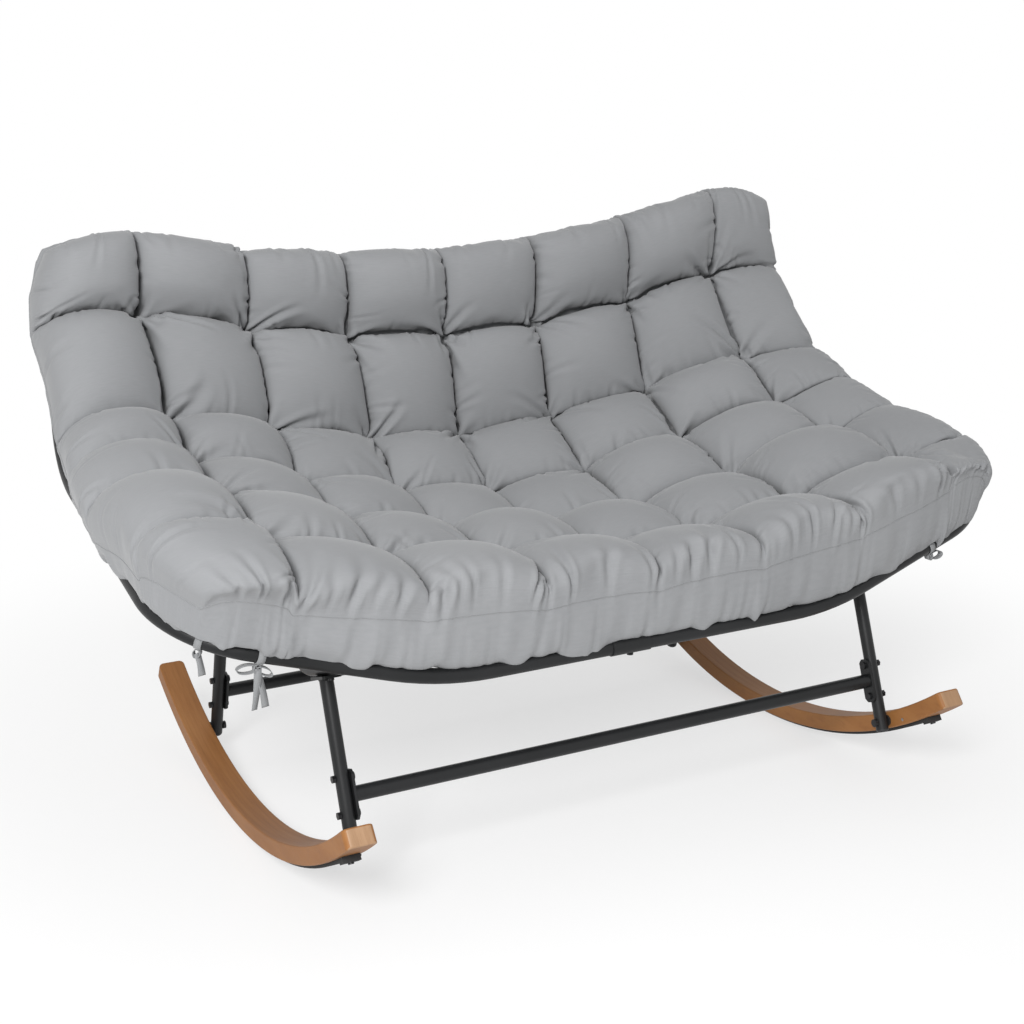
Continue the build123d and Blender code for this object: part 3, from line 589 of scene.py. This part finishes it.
def crease_gathers(quilt):
    """Puckers on both sides of the sewn lines inside the cushion."""
    side, top = COLUMNS_PER_SIDE * COLUMN_PITCH, quilt.length[-1]
    gathers = []
    for v in quilt.length[STEPS_PER_PILLOW:-1:STEPS_PER_PILLOW]:
        places = spread_places(quilt, 2 * side, CREASE_GATHER_PITCH)
        ways = (math.pi / 2, -math.pi / 2)
        gathers += line_gathers(quilt, (-side, v), (1, 0), places, ways, GATHER_TURN, CREASE_GATHER)
    for column in range(1 - COLUMNS_PER_SIDE, COLUMNS_PER_SIDE):
        places = spread_places(quilt, top, CREASE_GATHER_PITCH)
        start = (column * COLUMN_PITCH, 0)
        gathers += line_gathers(quilt, start, (0, 1), places, (0, math.pi), GATHER_TURN, CREASE_GATHER)
    return gathers


def seam_gathers(quilt):
    """Puckers along the border seam, inwards on one half of the cover."""
    side, top = COLUMNS_PER_SIDE * COLUMN_PITCH, quilt.length[-1]
    columns = COLUMN_PITCH * np.arange(2 * COLUMNS_PER_SIDE + 1)
    rows = quilt.length[::STEPS_PER_PILLOW]
    edges = [
        ((-side, 0), (1, 0), columns, math.pi / 2, FRONT_GATHER),
        ((-side, top), (1, 0), columns, -math.pi / 2, SEAM_GATHER),
        ((-side, 0), (0, 1), rows, 0, SEAM_GATHER),
        ((side, 0), (0, 1), rows, math.pi, SEAM_GATHER),
    ]
    gathers = []
    for start, way, stops, heading, kind in edges:
        places = seam_places(quilt, stops)
        gathers += line_gathers(quilt, start, way, places, (heading,), SEAM_GATHER_TURN, kind)
    return gathers


def gather_heights(gathers, u, v):
    """Heights at cloth points. Each gather is a valley between two ridges that widens and fades on its way."""
    ridge, ridge_place = GATHER_RIDGE
    heights = np.zeros(len(u))
    for start, heading, length, width, depth, bend in gathers:
        near = np.flatnonzero((np.abs(u - start[0]) < length) & (np.abs(v - start[1]) < length))
        du, dv = u[near] - start[0], v[near] - start[1]
        along = (du * math.cos(heading) + dv * math.sin(heading)) / length
        across = dv * math.cos(heading) - du * math.sin(heading) - bend * length * along**2
        side = np.abs(across) / (width * (0.5 + np.clip(along, 0, 1)))
        fade = np.clip(1 - along, 0, 1) * np.clip(along * length / GATHER_ONSET, 0, 1)
        heights[near] += depth * fade * (ridge * np.exp(-((side - ridge_place) ** 2)) - np.exp(-(side**2)))
    return heights


def cover_heights(quilt):
    """Height of the cover's upper side over the quilting surface."""
    rows, columns = len(ROWS) - 1, 2 * COLUMNS_PER_SIDE
    fullness = 1 + FULLNESS_SPREAD * quilt.random.uniform(-1, 1, (rows, columns))
    fullness *= np.array(ROW_FULLNESS)[:, None]
    fullness[:, 0] *= LEFT_FULLNESS
    fullness[:, -1] *= RIGHT_FULLNESS
    a, b = quilt.row_swell, quilt.column_swell
    inner = np.clip(quilt.to_border, 0, 1)
    side = np.where(quilt.c < 0, LEFT_EVENNESS, RIGHT_EVENNESS) * np.clip(EVEN_ROWS - quilt.s, 0, 1)
    a = a + (1 - a) * side * (1 - np.clip(quilt.to_side, 0, 1))
    b = b + (1 - b) * FRONT_EVENNESS * (1 - np.clip(quilt.to_front, 0, 1))
    crease = CREASE_HEIGHT * np.sqrt(a * a + b * b - a * a * b * b)
    at_corner = np.isin(quilt.row, (0, rows - 1)) & np.isin(quilt.column, (0, columns - 1))
    swell = a * b * np.where(at_corner, (2 / np.maximum(a**3 + b**3, 1e-9)) ** (1 / 3), 1.0)
    pillow = (PILLOW_CREST - CREASE_HEIGHT) * swell**PILLOW_SQUARENESS * fullness[quilt.row, quilt.column]
    crease = crease * (1 - BORDER_CREASE_LOSS * (1 - inner) ** 4)
    return crease + pillow - along_rows(TUFT_DEPTH, quilt.s) * inner


def underside_depths(quilt):
    """Depth of the cover's lower side under the quilting surface: shallower along the sewn lines, and sagging
    inside the border, most in the middle columns."""
    depth = along_rows(ROW_DEPTH, quilt.s)
    ends = np.interp(np.minimum(quilt.to_front, quilt.to_top), *UNDERSIDE_ENDS)
    sides = np.clip(quilt.to_side, 0, 1)
    flat = EDGE_HALF + (depth - EDGE_HALF) * ends * sides
    dents = UNDERSIDE_DENT * depth / max(ROW_DEPTH) * (1 - np.sqrt(quilt.row_swell * quilt.column_swell))
    sag = BORDER_SAG * np.clip(1.2 - np.abs(quilt.c) / 6, 0.6, 1)
    sag = sag * np.clip(1.5 - quilt.to_border / BORDER_SAG_REACH, 0, 1)
    return flat + sag * (quilt.to_top > 1) - dents * np.clip(quilt.to_border / DENT_ONSET - 1, 0, 1)


def front_shift(quilt):
    """Lifts the border seam at the front, less towards the corners."""
    raised = SEAM_RAISE + SEAM_TILT * np.clip(quilt.c / 2, 0, 1)
    raised = raised * np.clip(1 - quilt.to_front, 0, 1) ** SEAM_RAISE_POWER
    for half, (drop, reach) in ((quilt.c < 0, LEFT_SEAM_DROP), (quilt.c > 0, RIGHT_SEAM_DROP)):
        raised *= 1 - half * drop * np.clip(1 - quilt.to_side / reach, 0, 1) ** 2
    return raised[..., None] * np.array([0.0, 0.0, 1.0])


def back_shift(quilt):
    """Rolls the top edge and the sides over, with their seam behind."""
    near_top = np.clip(1 - 2 * quilt.to_top, 0, 1)
    near_side = np.clip(1 - 2 * quilt.to_side, 0, 1)
    up = TOP_STRETCH * near_top - TOP_TUCK * near_top**ROLL_POWER
    side = np.where(quilt.c < 0, along_rows(LEFT_ROLL, quilt.s), along_rows(RIGHT_ROLL, quilt.s))
    back = np.maximum(TOP_ROLL * near_top**ROLL_POWER, side * near_side**ROLL_POWER)
    return up[..., None] * quilt.along - back[..., None] * quilt.normal


def cover_mesh(quilt):
    """Points and faces of the closed cover, and which grid points its lower side has of its own."""
    front = front_shift(quilt)
    rolled = quilt.surface + back_shift(quilt)
    upper = rolled + front + quilt.normal * cover_heights(quilt)[..., None]
    lower = rolled + front * (1 - quilt.below)[..., None]
    lower -= quilt.normal * (underside_depths(quilt) * quilt.below)[..., None]
    rows, columns = quilt.s.shape
    top_index = np.arange(rows * columns).reshape(rows, columns)
    low_index = top_index.copy()
    inside = np.zeros_like(top_index, bool)
    inside[1:-1, 1:-1] = True
    low_index[inside] = rows * columns + np.arange(inside.sum())

    def quads(index):
        return np.stack([index[:-1, :-1], index[:-1, 1:], index[1:, 1:], index[1:, :-1]], -1).reshape(-1, 4)

    points = np.concatenate([upper.reshape(-1, 3), lower[inside]])
    faces = np.concatenate([quads(top_index), quads(low_index)[:, ::-1]])
    return points, faces, inside


def hoop_crest(nodes):
    """Points along the top of the hoop."""
    crest = []
    for name in ("rim_left", "rim_right"):
        mesh = nodes[name].data
        points = read_points(mesh)
        normals = np.empty(points.size)
        mesh.vertices.foreach_get("normal", normals)
        ends = np.empty(len(mesh.edges) * 2, int)
        mesh.edges.foreach_get("vertices", ends)
        ends = ends.reshape(-1, 2)
        ends = ends[(normals.reshape(-1, 3)[:, 2] > CREST_FACING)[ends].all(axis=1)]
        for t in np.linspace(0, 1, CREST_STEPS):
            crest.append(points[ends[:, 0]] * (1 - t) + points[ends[:, 1]] * t)
    return np.concatenate(crest)


def rest_on_hoop(points, quilt, inside, crest):
    """Lays the underside on the hoop, and lets it hang inside."""
    tree = kdtree.KDTree(len(crest))
    for i, (x, y, z) in enumerate(crest):
        tree.insert((x, y, 0), i)
    tree.balance()
    first = quilt.s.size
    below = quilt.below[inside]
    near = (quilt.s[inside] < HOOP_REST_ROWS) & (quilt.to_border[inside] < HOOP_REST_BORDER)
    for k in first + np.flatnonzero(near):
        x, y, z = points[k]
        _, i, away = tree.find((x, y, 0))
        hoop_x, hoop_y, hoop_z = crest[i]
        outside = ((x - hoop_x) * hoop_x + (y - hoop_y) * hoop_y) / math.hypot(hoop_x, hoop_y)
        lift = hoop_z - HOOP_BITE - z
        if lift > 0:
            share = min(max(1 + outside / HOOP_RADIUS, 0), 1)
        else:
            share = min(HOOP_PRESS * below[k - first], 1)
        points[k, 2] += share * min(max(2 - away / HOOP_REACH, 0), 1) * lift


def pin_weights(quilt, inside):
    """1 where the cover is sewn or lies on the frame, less along the creases, 0 where it may swell."""
    tuft = (quilt.row_swell < ON_LINE) & (quilt.column_swell < ON_LINE)
    crease = (quilt.row_swell < ON_LINE) | (quilt.column_swell < ON_LINE)
    upper = np.where(crease, CREASE_PIN, 0.0)
    upper[quilt.to_border < ON_LINE] = SEAM_PIN
    upper[tuft] = 1.0
    lower = np.where(quilt.to_border > BORDER_ROLL / 4, 1.0, UNDERSIDE_PIN)
    return np.concatenate([upper.ravel(), lower[inside]])


def taut_weights(quilt, inside):
    """1 along the border seam, which has no slack, down to 0 a little way in."""
    taut = np.clip(1 - quilt.to_border / TAUT_REACH, 0, 1)
    return np.concatenate([taut.ravel(), taut[inside]])


def new_object(name, points, faces, material):
    """A smooth-shaded mesh object in the scene."""
    mesh = bpy.data.meshes.new(name)
    mesh.from_pydata([tuple(p) for p in points], [], [tuple(int(i) for i in f) for f in faces])
    mesh.update()
    obj = bpy.data.objects.new(name, mesh)
    bpy.context.scene.collection.objects.link(obj)
    mesh.materials.append(material)
    mesh.polygons.foreach_set("use_smooth", [True] * len(mesh.polygons))
    return obj


def read_points(mesh):
    flat = np.empty(len(mesh.vertices) * 3)
    mesh.vertices.foreach_get("co", flat)
    return flat.reshape(-1, 3)


def write_points(mesh, points):
    mesh.vertices.foreach_set("co", np.asarray(points, np.float32).ravel())
    mesh.update()


def weight_group(obj, name, weights):
    """A vertex group with the given weights, to two decimals."""
    group = obj.vertex_groups.new(name=name)
    levels = np.round(weights, 2)
    for level in np.unique(levels[levels > 0]):
        group.add(np.flatnonzero(levels == level).tolist(), float(level), "REPLACE")
    return group.name


def fill_cover(obj, pinned, taut):
    """Cloth with slack between the sewn lines, blown up a little, which wrinkles it along them."""
    start = read_points(obj.data)
    cloth = obj.modifiers.new("Cloth", "CLOTH")
    settings = cloth.settings
    settings.quality = 6
    settings.mass = 0.2
    settings.tension_stiffness = 18
    settings.compression_stiffness = 18
    settings.shear_stiffness = 6
    settings.bending_stiffness = 0.12
    settings.use_pressure = True
    settings.uniform_pressure_force = CLOTH_PRESSURE
    settings.shrink_min = -CLOTH_SLACK
    settings.shrink_max = 0.0
    settings.vertex_group_shrink = weight_group(obj, "taut", taut)
    settings.vertex_group_mass = weight_group(obj, "sewn", pinned)
    settings.pin_stiffness = 2.0
    settings.effector_weights.gravity = 0
    cloth.collision_settings.use_collision = False
    cloth.point_cache.frame_start = 1
    cloth.point_cache.frame_end = CLOTH_FRAMES
    scene = bpy.context.scene
    for frame in range(1, CLOTH_FRAMES + 1):
        scene.frame_set(frame)
    evaluated = obj.evaluated_get(bpy.context.evaluated_depsgraph_get())
    moved = read_points(evaluated.data) - start
    obj.modifiers.remove(cloth)
    scene.frame_set(1)
    size = np.linalg.norm(moved, axis=1, keepdims=True)
    write_points(obj.data, start + moved * np.minimum(1, CLOTH_REACH / np.maximum(size, 1e-9)))


def sharpen_lines(mesh, quilt):
    """Keeps the sewn lines of the upper side sharp when the mesh is refined."""
    sewn = (quilt.row_swell < ON_LINE) | (quilt.column_swell < ON_LINE)
    on_line = np.zeros(len(mesh.vertices), bool)
    on_line[: sewn.size] = (sewn & (quilt.to_border > LINE_START)).ravel()
    ends = np.empty(len(mesh.edges) * 2, int)
    mesh.edges.foreach_get("vertices", ends)
    sharp = on_line[ends.reshape(-1, 2)].all(axis=1).astype(np.float32)
    layer = mesh.attributes.new("crease_edge", "FLOAT", "EDGE")
    layer.data.foreach_set("value", LINE_SHARPNESS * sharp)


def sides_apart(mesh, quilt, inside):
    """Distance between the cover's upper and lower side at each grid point, 0 where they have crossed."""
    points = read_points(mesh)
    apart = np.zeros(quilt.s.shape)
    over = points[: quilt.s.size].reshape(*quilt.s.shape, 3)[inside] - points[quilt.s.size :]
    apart[inside] = np.maximum((over * quilt.normal[inside]).sum(axis=1), 0)
    return apart


def refine_cover(obj, quilt, inside):
    """Refines the settled cover. Gives each point's cloth place across and along, 1 above to 0 below, and how
    far apart the two sides are there."""
    grids = {
        "across": quilt.c * COLUMN_PITCH,
        "along": np.broadcast_to(quilt.length[:, None], quilt.s.shape),
        "upper": np.where(quilt.to_border < ON_LINE, SEAM_LEVEL, 1.0),
        "apart": sides_apart(obj.data, quilt, inside),
    }
    for name, grid in grids.items():
        lower = np.zeros_like(grid) if name == "upper" else grid
        layer = obj.data.attributes.new(name, "FLOAT", "POINT")
        layer.data.foreach_set("value", np.concatenate([grid.ravel(), lower[inside]]).astype(np.float32))
    sharpen_lines(obj.data, quilt)
    finer = obj.modifiers.new("Finer", "SUBSURF")
    finer.levels = REFINE_LEVELS
    finer.render_levels = REFINE_LEVELS
    depsgraph = bpy.context.evaluated_depsgraph_get()
    mesh = bpy.data.meshes.new_from_object(obj.evaluated_get(depsgraph), depsgraph=depsgraph)
    obj.modifiers.clear()
    obj.vertex_groups.clear()
    obj.data = mesh
    places = []
    for name in grids:
        values = np.empty(len(mesh.vertices), np.float32)
        mesh.attributes[name].data.foreach_get("value", values)
        mesh.attributes.remove(mesh.attributes[name])
        places.append(values.astype(float))
    return places


def gather_cover(mesh, quilt, u, v, upper, apart):
    """Presses gathers, creases and the seam's groove into the refined cover, never through its other side."""
    tops = upper >= SEAM_LEVEL
    to_seam = np.minimum(np.minimum(v, quilt.length[-1] - v), COLUMNS_PER_SIDE * COLUMN_PITCH - np.abs(u))
    depth, reach = SEAM_GROOVE
    groove = -depth * np.exp(-((to_seam / reach) ** 2))
    rows = quilt.length[STEPS_PER_PILLOW:-1:STEPS_PER_PILLOW]
    to_row = np.abs(v[:, None] - rows).min(axis=1)
    to_column = np.abs(u - COLUMN_PITCH * np.rint(u / COLUMN_PITCH))
    depth, reach = CREASE_SLIT
    slit = depth * np.exp(-((np.minimum(to_row, to_column) / reach) ** 2))
    heights = -(slit * np.clip(to_seam / COLUMN_PITCH, 0, 1)) * tops
    above = tuft_gathers(quilt) + crease_gathers(quilt) + seam_gathers(quilt)
    heights[tops] += gather_heights(above, u[tops], v[tops])
    heights[~tops] += UNDERSIDE_GATHER * gather_heights(seam_gathers(quilt), u[~tops], v[~tops])
    normals = np.empty(len(mesh.vertices) * 3)
    mesh.vertices.foreach_get("normal", normals)
    heights = np.maximum(heights, -PRESS_SHARE * apart) + groove
    write_points(mesh, read_points(mesh) + normals.reshape(-1, 3) * heights[:, None])


def cover_uv(mesh, u, v):
    """Flat cloth coordinates in metres."""
    loops = np.empty(len(mesh.loops), int)
    mesh.loops.foreach_get("vertex_index", loops)
    layer = mesh.uv_layers.new(name="cloth")
    layer.data.foreach_set("uv", np.stack([u, v], -1)[loops].astype(np.float32).ravel())


def seam_line(mesh, quilt, u, v, upper):
    """The border seam's points, once round."""
    seam = np.flatnonzero(np.abs(upper - SEAM_LEVEL) < 1e-4)
    turn = np.arctan2(v[seam] - quilt.length[-1] / 2, u[seam])
    return read_points(mesh)[seam[np.argsort(turn)]]


def make_cushion(nodes, material):
    """The tufted cover in place of the frame's cushion. Gives the line of its border seam."""
    quilt = Quilt()
    points, faces, inside = cover_mesh(quilt)
    rest_on_hoop(points, quilt, inside, hoop_crest(nodes))
    obj = new_object("tufted_cushion", points, faces, material)
    fill_cover(obj, pin_weights(quilt, inside), taut_weights(quilt, inside))
    u, v, upper, apart = refine_cover(obj, quilt, inside)
    gather_cover(obj.data, quilt, u, v, upper, apart)
    cover_uv(obj.data, u, v)
    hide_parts("cushion")
    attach(obj, "root")
    return seam_line(obj.data, quilt, u, v, upper)


def make_seam(points, material):
    """The stitched seam where the cover's two halves meet, as a thin welt round the border."""
    curve = bpy.data.curves.new("border_seam", "CURVE")
    curve.dimensions = "3D"
    curve.bevel_depth = SEAM_RADIUS
    curve.bevel_resolution = 2
    spline = curve.splines.new("POLY")
    spline.points.add(len(points) - 1)
    for target, p in zip(spline.points, points):
        target.co = (*p, 1.0)
    spline.use_cyclic_u = True
    curve.materials.append(material)
    obj = bpy.data.objects.new("border_seam", curve)
    bpy.context.scene.collection.objects.link(obj)
    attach(obj, "root")


# Tapes
def hoop_frame(axis):
    """Knot place, the way along the hoop and the way down from it."""
    place, along = Vector(axis[0]), Vector(axis[1]).normalized()
    down = Vector((0, 0, -1))
    down = (down - along * down.dot(along)).normalized()
    return place, along, down


def ribbon(route, across):
    """Points and faces of a flat tape along a route, with a direction across it at each point."""
    half = TAPE_WIDTH / 2
    points = []
    for p, side in zip(route, across):
        points += [p - side * half, p + side * half]
    faces = [(2 * i, 2 * i + 1, 2 * i + 3, 2 * i + 2) for i in range(len(route) - 1)]
    length = sum((b - a).length for a, b in zip(route, route[1:]))
    return points, faces, length


def tape_turn(axis):
    """The tape's turn round the hoop, open on the cushion's side."""
    place, along, down = hoop_frame(axis)
    side = along.cross(down)
    radius = HOOP_RADIUS + TAPE_LIFT * TAPE_THICKNESS
    reach = math.radians(180 - TAPE_GAP_ANGLE / 2)
    angles = [reach * (2 * i / TURN_STEPS - 1) for i in range(TURN_STEPS + 1)]
    route = [place + (down * math.cos(t) + side * math.sin(t)) * radius for t in angles]
    return ribbon(route, [along] * len(route))


def tape_knot(axis):
    """The short wrap that ties the tape below the hoop."""
    place, along, down = hoop_frame(axis)
    side = along.cross(down)
    centre = place + down * KNOT_DROP
    tall, wide = KNOT_HALF_SIZE
    route = []
    for i in range(KNOT_STEPS + 1):
        t = 2 * KNOT_TURNS * math.pi * i / KNOT_STEPS
        ring = down * math.cos(t) * tall + along * math.sin(t) * wide
        route.append(centre + ring * (1 + KNOT_GROWTH * i / KNOT_STEPS))
    return ribbon(route, [side] * len(route))


def tape_tail(axis, length, spread, forward, curl):
    """A tape end that hangs from the knot, turned and curled a little."""
    place, _, down = hoop_frame(axis)
    start = place + down * KNOT_DROP
    drop = Vector((math.sin(spread), 0, -math.cos(spread)))
    route = []
    across = []
    for i in range(TAIL_STEPS + 1):
        t = i / TAIL_STEPS
        bow = Vector((0, -1, 0)) * (forward + curl * math.sin(math.pi * t))
        route.append(start + drop * length * t + bow)
        turn = 0.5 * math.sin(2.4 * t + spread * 6)
        side = Vector((math.cos(turn) * math.cos(spread), math.sin(turn), math.sin(spread)))
        across.append(side.normalized())
    return ribbon(route, across)


def tape_loop(axis, sign, length, height):
    """One loop of the bow, lying along the hoop below it."""
    place, along, down = hoop_frame(axis)
    side = along.cross(down)
    start = place + down * KNOT_DROP
    route = []
    for i in range(LOOP_STEPS + 1):
        t = 2 * math.pi * i / LOOP_STEPS
        out = (1 - math.cos(t)) / 2 * length
        route.append(start + along * (sign * out) + down * (height / 2 * math.sin(t) + LOOP_DROOP * out))
    return ribbon(route, [side] * len(route))


def make_tape(name, node, strips, material):
    """One tape of several strips, in place of the frame's tie."""
    points, faces, length = [], [], 0.0
    for strip_points, strip_faces, strip_length in strips:
        start = len(points)
        points += strip_points
        faces += [tuple(i + start for i in f) for f in strip_faces]
        length += strip_length
    obj = new_object(name, points, faces, material)
    layer = obj.data.uv_layers.new(name="cloth")
    loops = [obj.data.vertices[loop.vertex_index].co for loop in obj.data.loops]
    layer.data.foreach_set("uv", [v for p in loops for v in (p.x, p.z)])
    thick = obj.modifiers.new("Thickness", "SOLIDIFY")
    thick.thickness = TAPE_THICKNESS
    thick.offset = 0
    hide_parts(node)
    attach(obj, "root")


def make_tapes(material):
    """The bow and the loose tail on the left of the hoop, and the loop on its right."""
    bow = [tape_turn(BOW_AXIS), tape_knot(BOW_AXIS)]
    bow += [tape_tail(BOW_AXIS, *shape) for shape in BOW_TAILS]
    bow += [tape_loop(BOW_AXIS, *shape) for shape in BOW_LOOPS]
    make_tape("tape_bow", "tie_bow_left", bow, material)
    tail = [tape_turn(TAIL_AXIS), tape_knot(TAIL_AXIS), tape_tail(TAIL_AXIS, *LOOSE_TAIL)]
    make_tape("tape_tail", "tie_tail_left", tail, material)
    loop = [tape_turn(LOOP_AXIS), tape_knot(LOOP_AXIS), tape_loop(LOOP_AXIS, *LOOSE_LOOP)]
    make_tape("tape_loop", "tie_loop_right", loop, material)


# CAD nodes
def dress_nodes(nodes):
    """Gives each CAD node the first finish in the list that fits the start of its name."""
    finishes = [
        (FASTENER_NODES, fastener_finish()),
        (RUBBER_NODES, rubber()),
        (PLASTIC_NODES, plastic()),
        (("rocker_inserts",), brass()),
        (("rocker_pins",), steel()),
        (("rocker_left", "rocker_right"), wood()),
        (BLACK_NODES, powder_coat()),
    ]
    for name, obj in nodes.items():
        for starts, material in finishes:
            if name.startswith(starts):
                obj.data.materials.clear()
                obj.data.materials.append(material)
                break


# Stage
def shows_backdrop(tree):
    """1 for the rays that show the white backdrop: from the camera, mirrored or through glass."""
    path = tree.nodes.new("ShaderNodeLightPath")
    seen = path.outputs["Is Camera Ray"]
    for kind in ("Is Glossy Ray", "Is Transmission Ray"):
        either = tree.nodes.new("ShaderNodeMath")
        either.operation = "MAXIMUM"
        tree.links.new(seen, either.inputs[0])
        tree.links.new(path.outputs[kind], either.inputs[1])
        seen = either.outputs["Value"]
    return seen


def make_floor():
    """White floor that shows the object's shadow and fades into the backdrop away from it."""
    bpy.ops.mesh.primitive_plane_add(size=FLOOR_SIZE, location=(0, 0, 0))
    floor = bpy.context.object
    floor.name = "floor"
    n = Nodes("floor_white")
    n.set(Base_Color=(FLOOR_SHADE, FLOOR_SHADE, FLOOR_SHADE, 1), Roughness=0.9)
    place = n.add("ShaderNodeTexCoord").outputs["Object"]
    away = n.add("ShaderNodeVectorMath", {0: place}, operation="LENGTH").outputs["Value"]
    near, far = FLOOR_FADE
    inputs = {"Value": away, "From Min": near, "From Max": far, "To Min": FLOOR_GLOW, "To Max": 1.0}
    fade = n.add("ShaderNodeMapRange", inputs, interpolation_type="SMOOTHSTEP").outputs["Result"]
    white = n.add("ShaderNodeEmission", {"Color": (1, 1, 1, 1), "Strength": 1.0})
    mix = n.add("ShaderNodeMixShader", {"Fac": n.math("MULTIPLY", shows_backdrop(n.tree), fade)})
    n.tree.links.new(n.shader.outputs["BSDF"], mix.inputs[1])
    n.tree.links.new(white.outputs["Emission"], mix.inputs[2])
    n.tree.links.new(mix.outputs["Shader"], n.tree.nodes["Material Output"].inputs["Surface"])
    floor.data.materials.append(n.material)


def make_world():
    """Even light on the object, in front of a white backdrop."""
    world = bpy.data.worlds.new("studio")
    bpy.context.scene.world = world
    world.use_nodes = True
    tree = world.node_tree
    background = tree.nodes["Background"]
    strength = tree.nodes.new("ShaderNodeMapRange")
    tree.links.new(shows_backdrop(tree), strength.inputs["Value"])
    strength.inputs["To Min"].default_value = WORLD_LIGHT
    strength.inputs["To Max"].default_value = 1.0
    background.inputs["Color"].default_value = (1, 1, 1, 1)
    tree.links.new(strength.outputs["Result"], background.inputs["Strength"])


def make_lamp(name, place, target, size, power):
    lamp = bpy.data.lights.new(name, "AREA")
    lamp.shape = "DISK"
    lamp.size = size
    lamp.energy = power
    obj = bpy.data.objects.new(name, lamp)
    obj.location = place
    obj.rotation_euler = (Vector(target) - Vector(place)).to_track_quat("-Z", "Y").to_euler()
    bpy.context.scene.collection.objects.link(obj)


def make_camera():
    camera = bpy.data.cameras.new("camera")
    camera.sensor_width = SENSOR_MM
    camera.lens = FOCAL_PIXELS / IMAGE_PIXELS * SENSOR_MM
    obj = bpy.data.objects.new("camera", camera)
    obj.location = CAMERA_PLACE
    obj.rotation_euler = Vector(CAMERA_LOOK).to_track_quat("-Z", "Y").to_euler()
    bpy.context.scene.collection.objects.link(obj)
    bpy.context.scene.camera = obj


def main():
    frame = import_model()
    bpy.context.scene.view_settings.view_transform = "Standard"
    dress_nodes(frame["nodes"])
    fabric = woven("cushion_weave", *CUSHION_CLOTH)
    tape = woven("tape_weave", *TAPE_CLOTH)
    seam = make_cushion(frame["nodes"], fabric)
    make_seam(seam, tape)
    make_tapes(tape)
    make_floor()
    make_world()
    make_lamp("key", *KEY_LAMP)
    make_lamp("top", *TOP_LAMP)
    make_camera()


main()
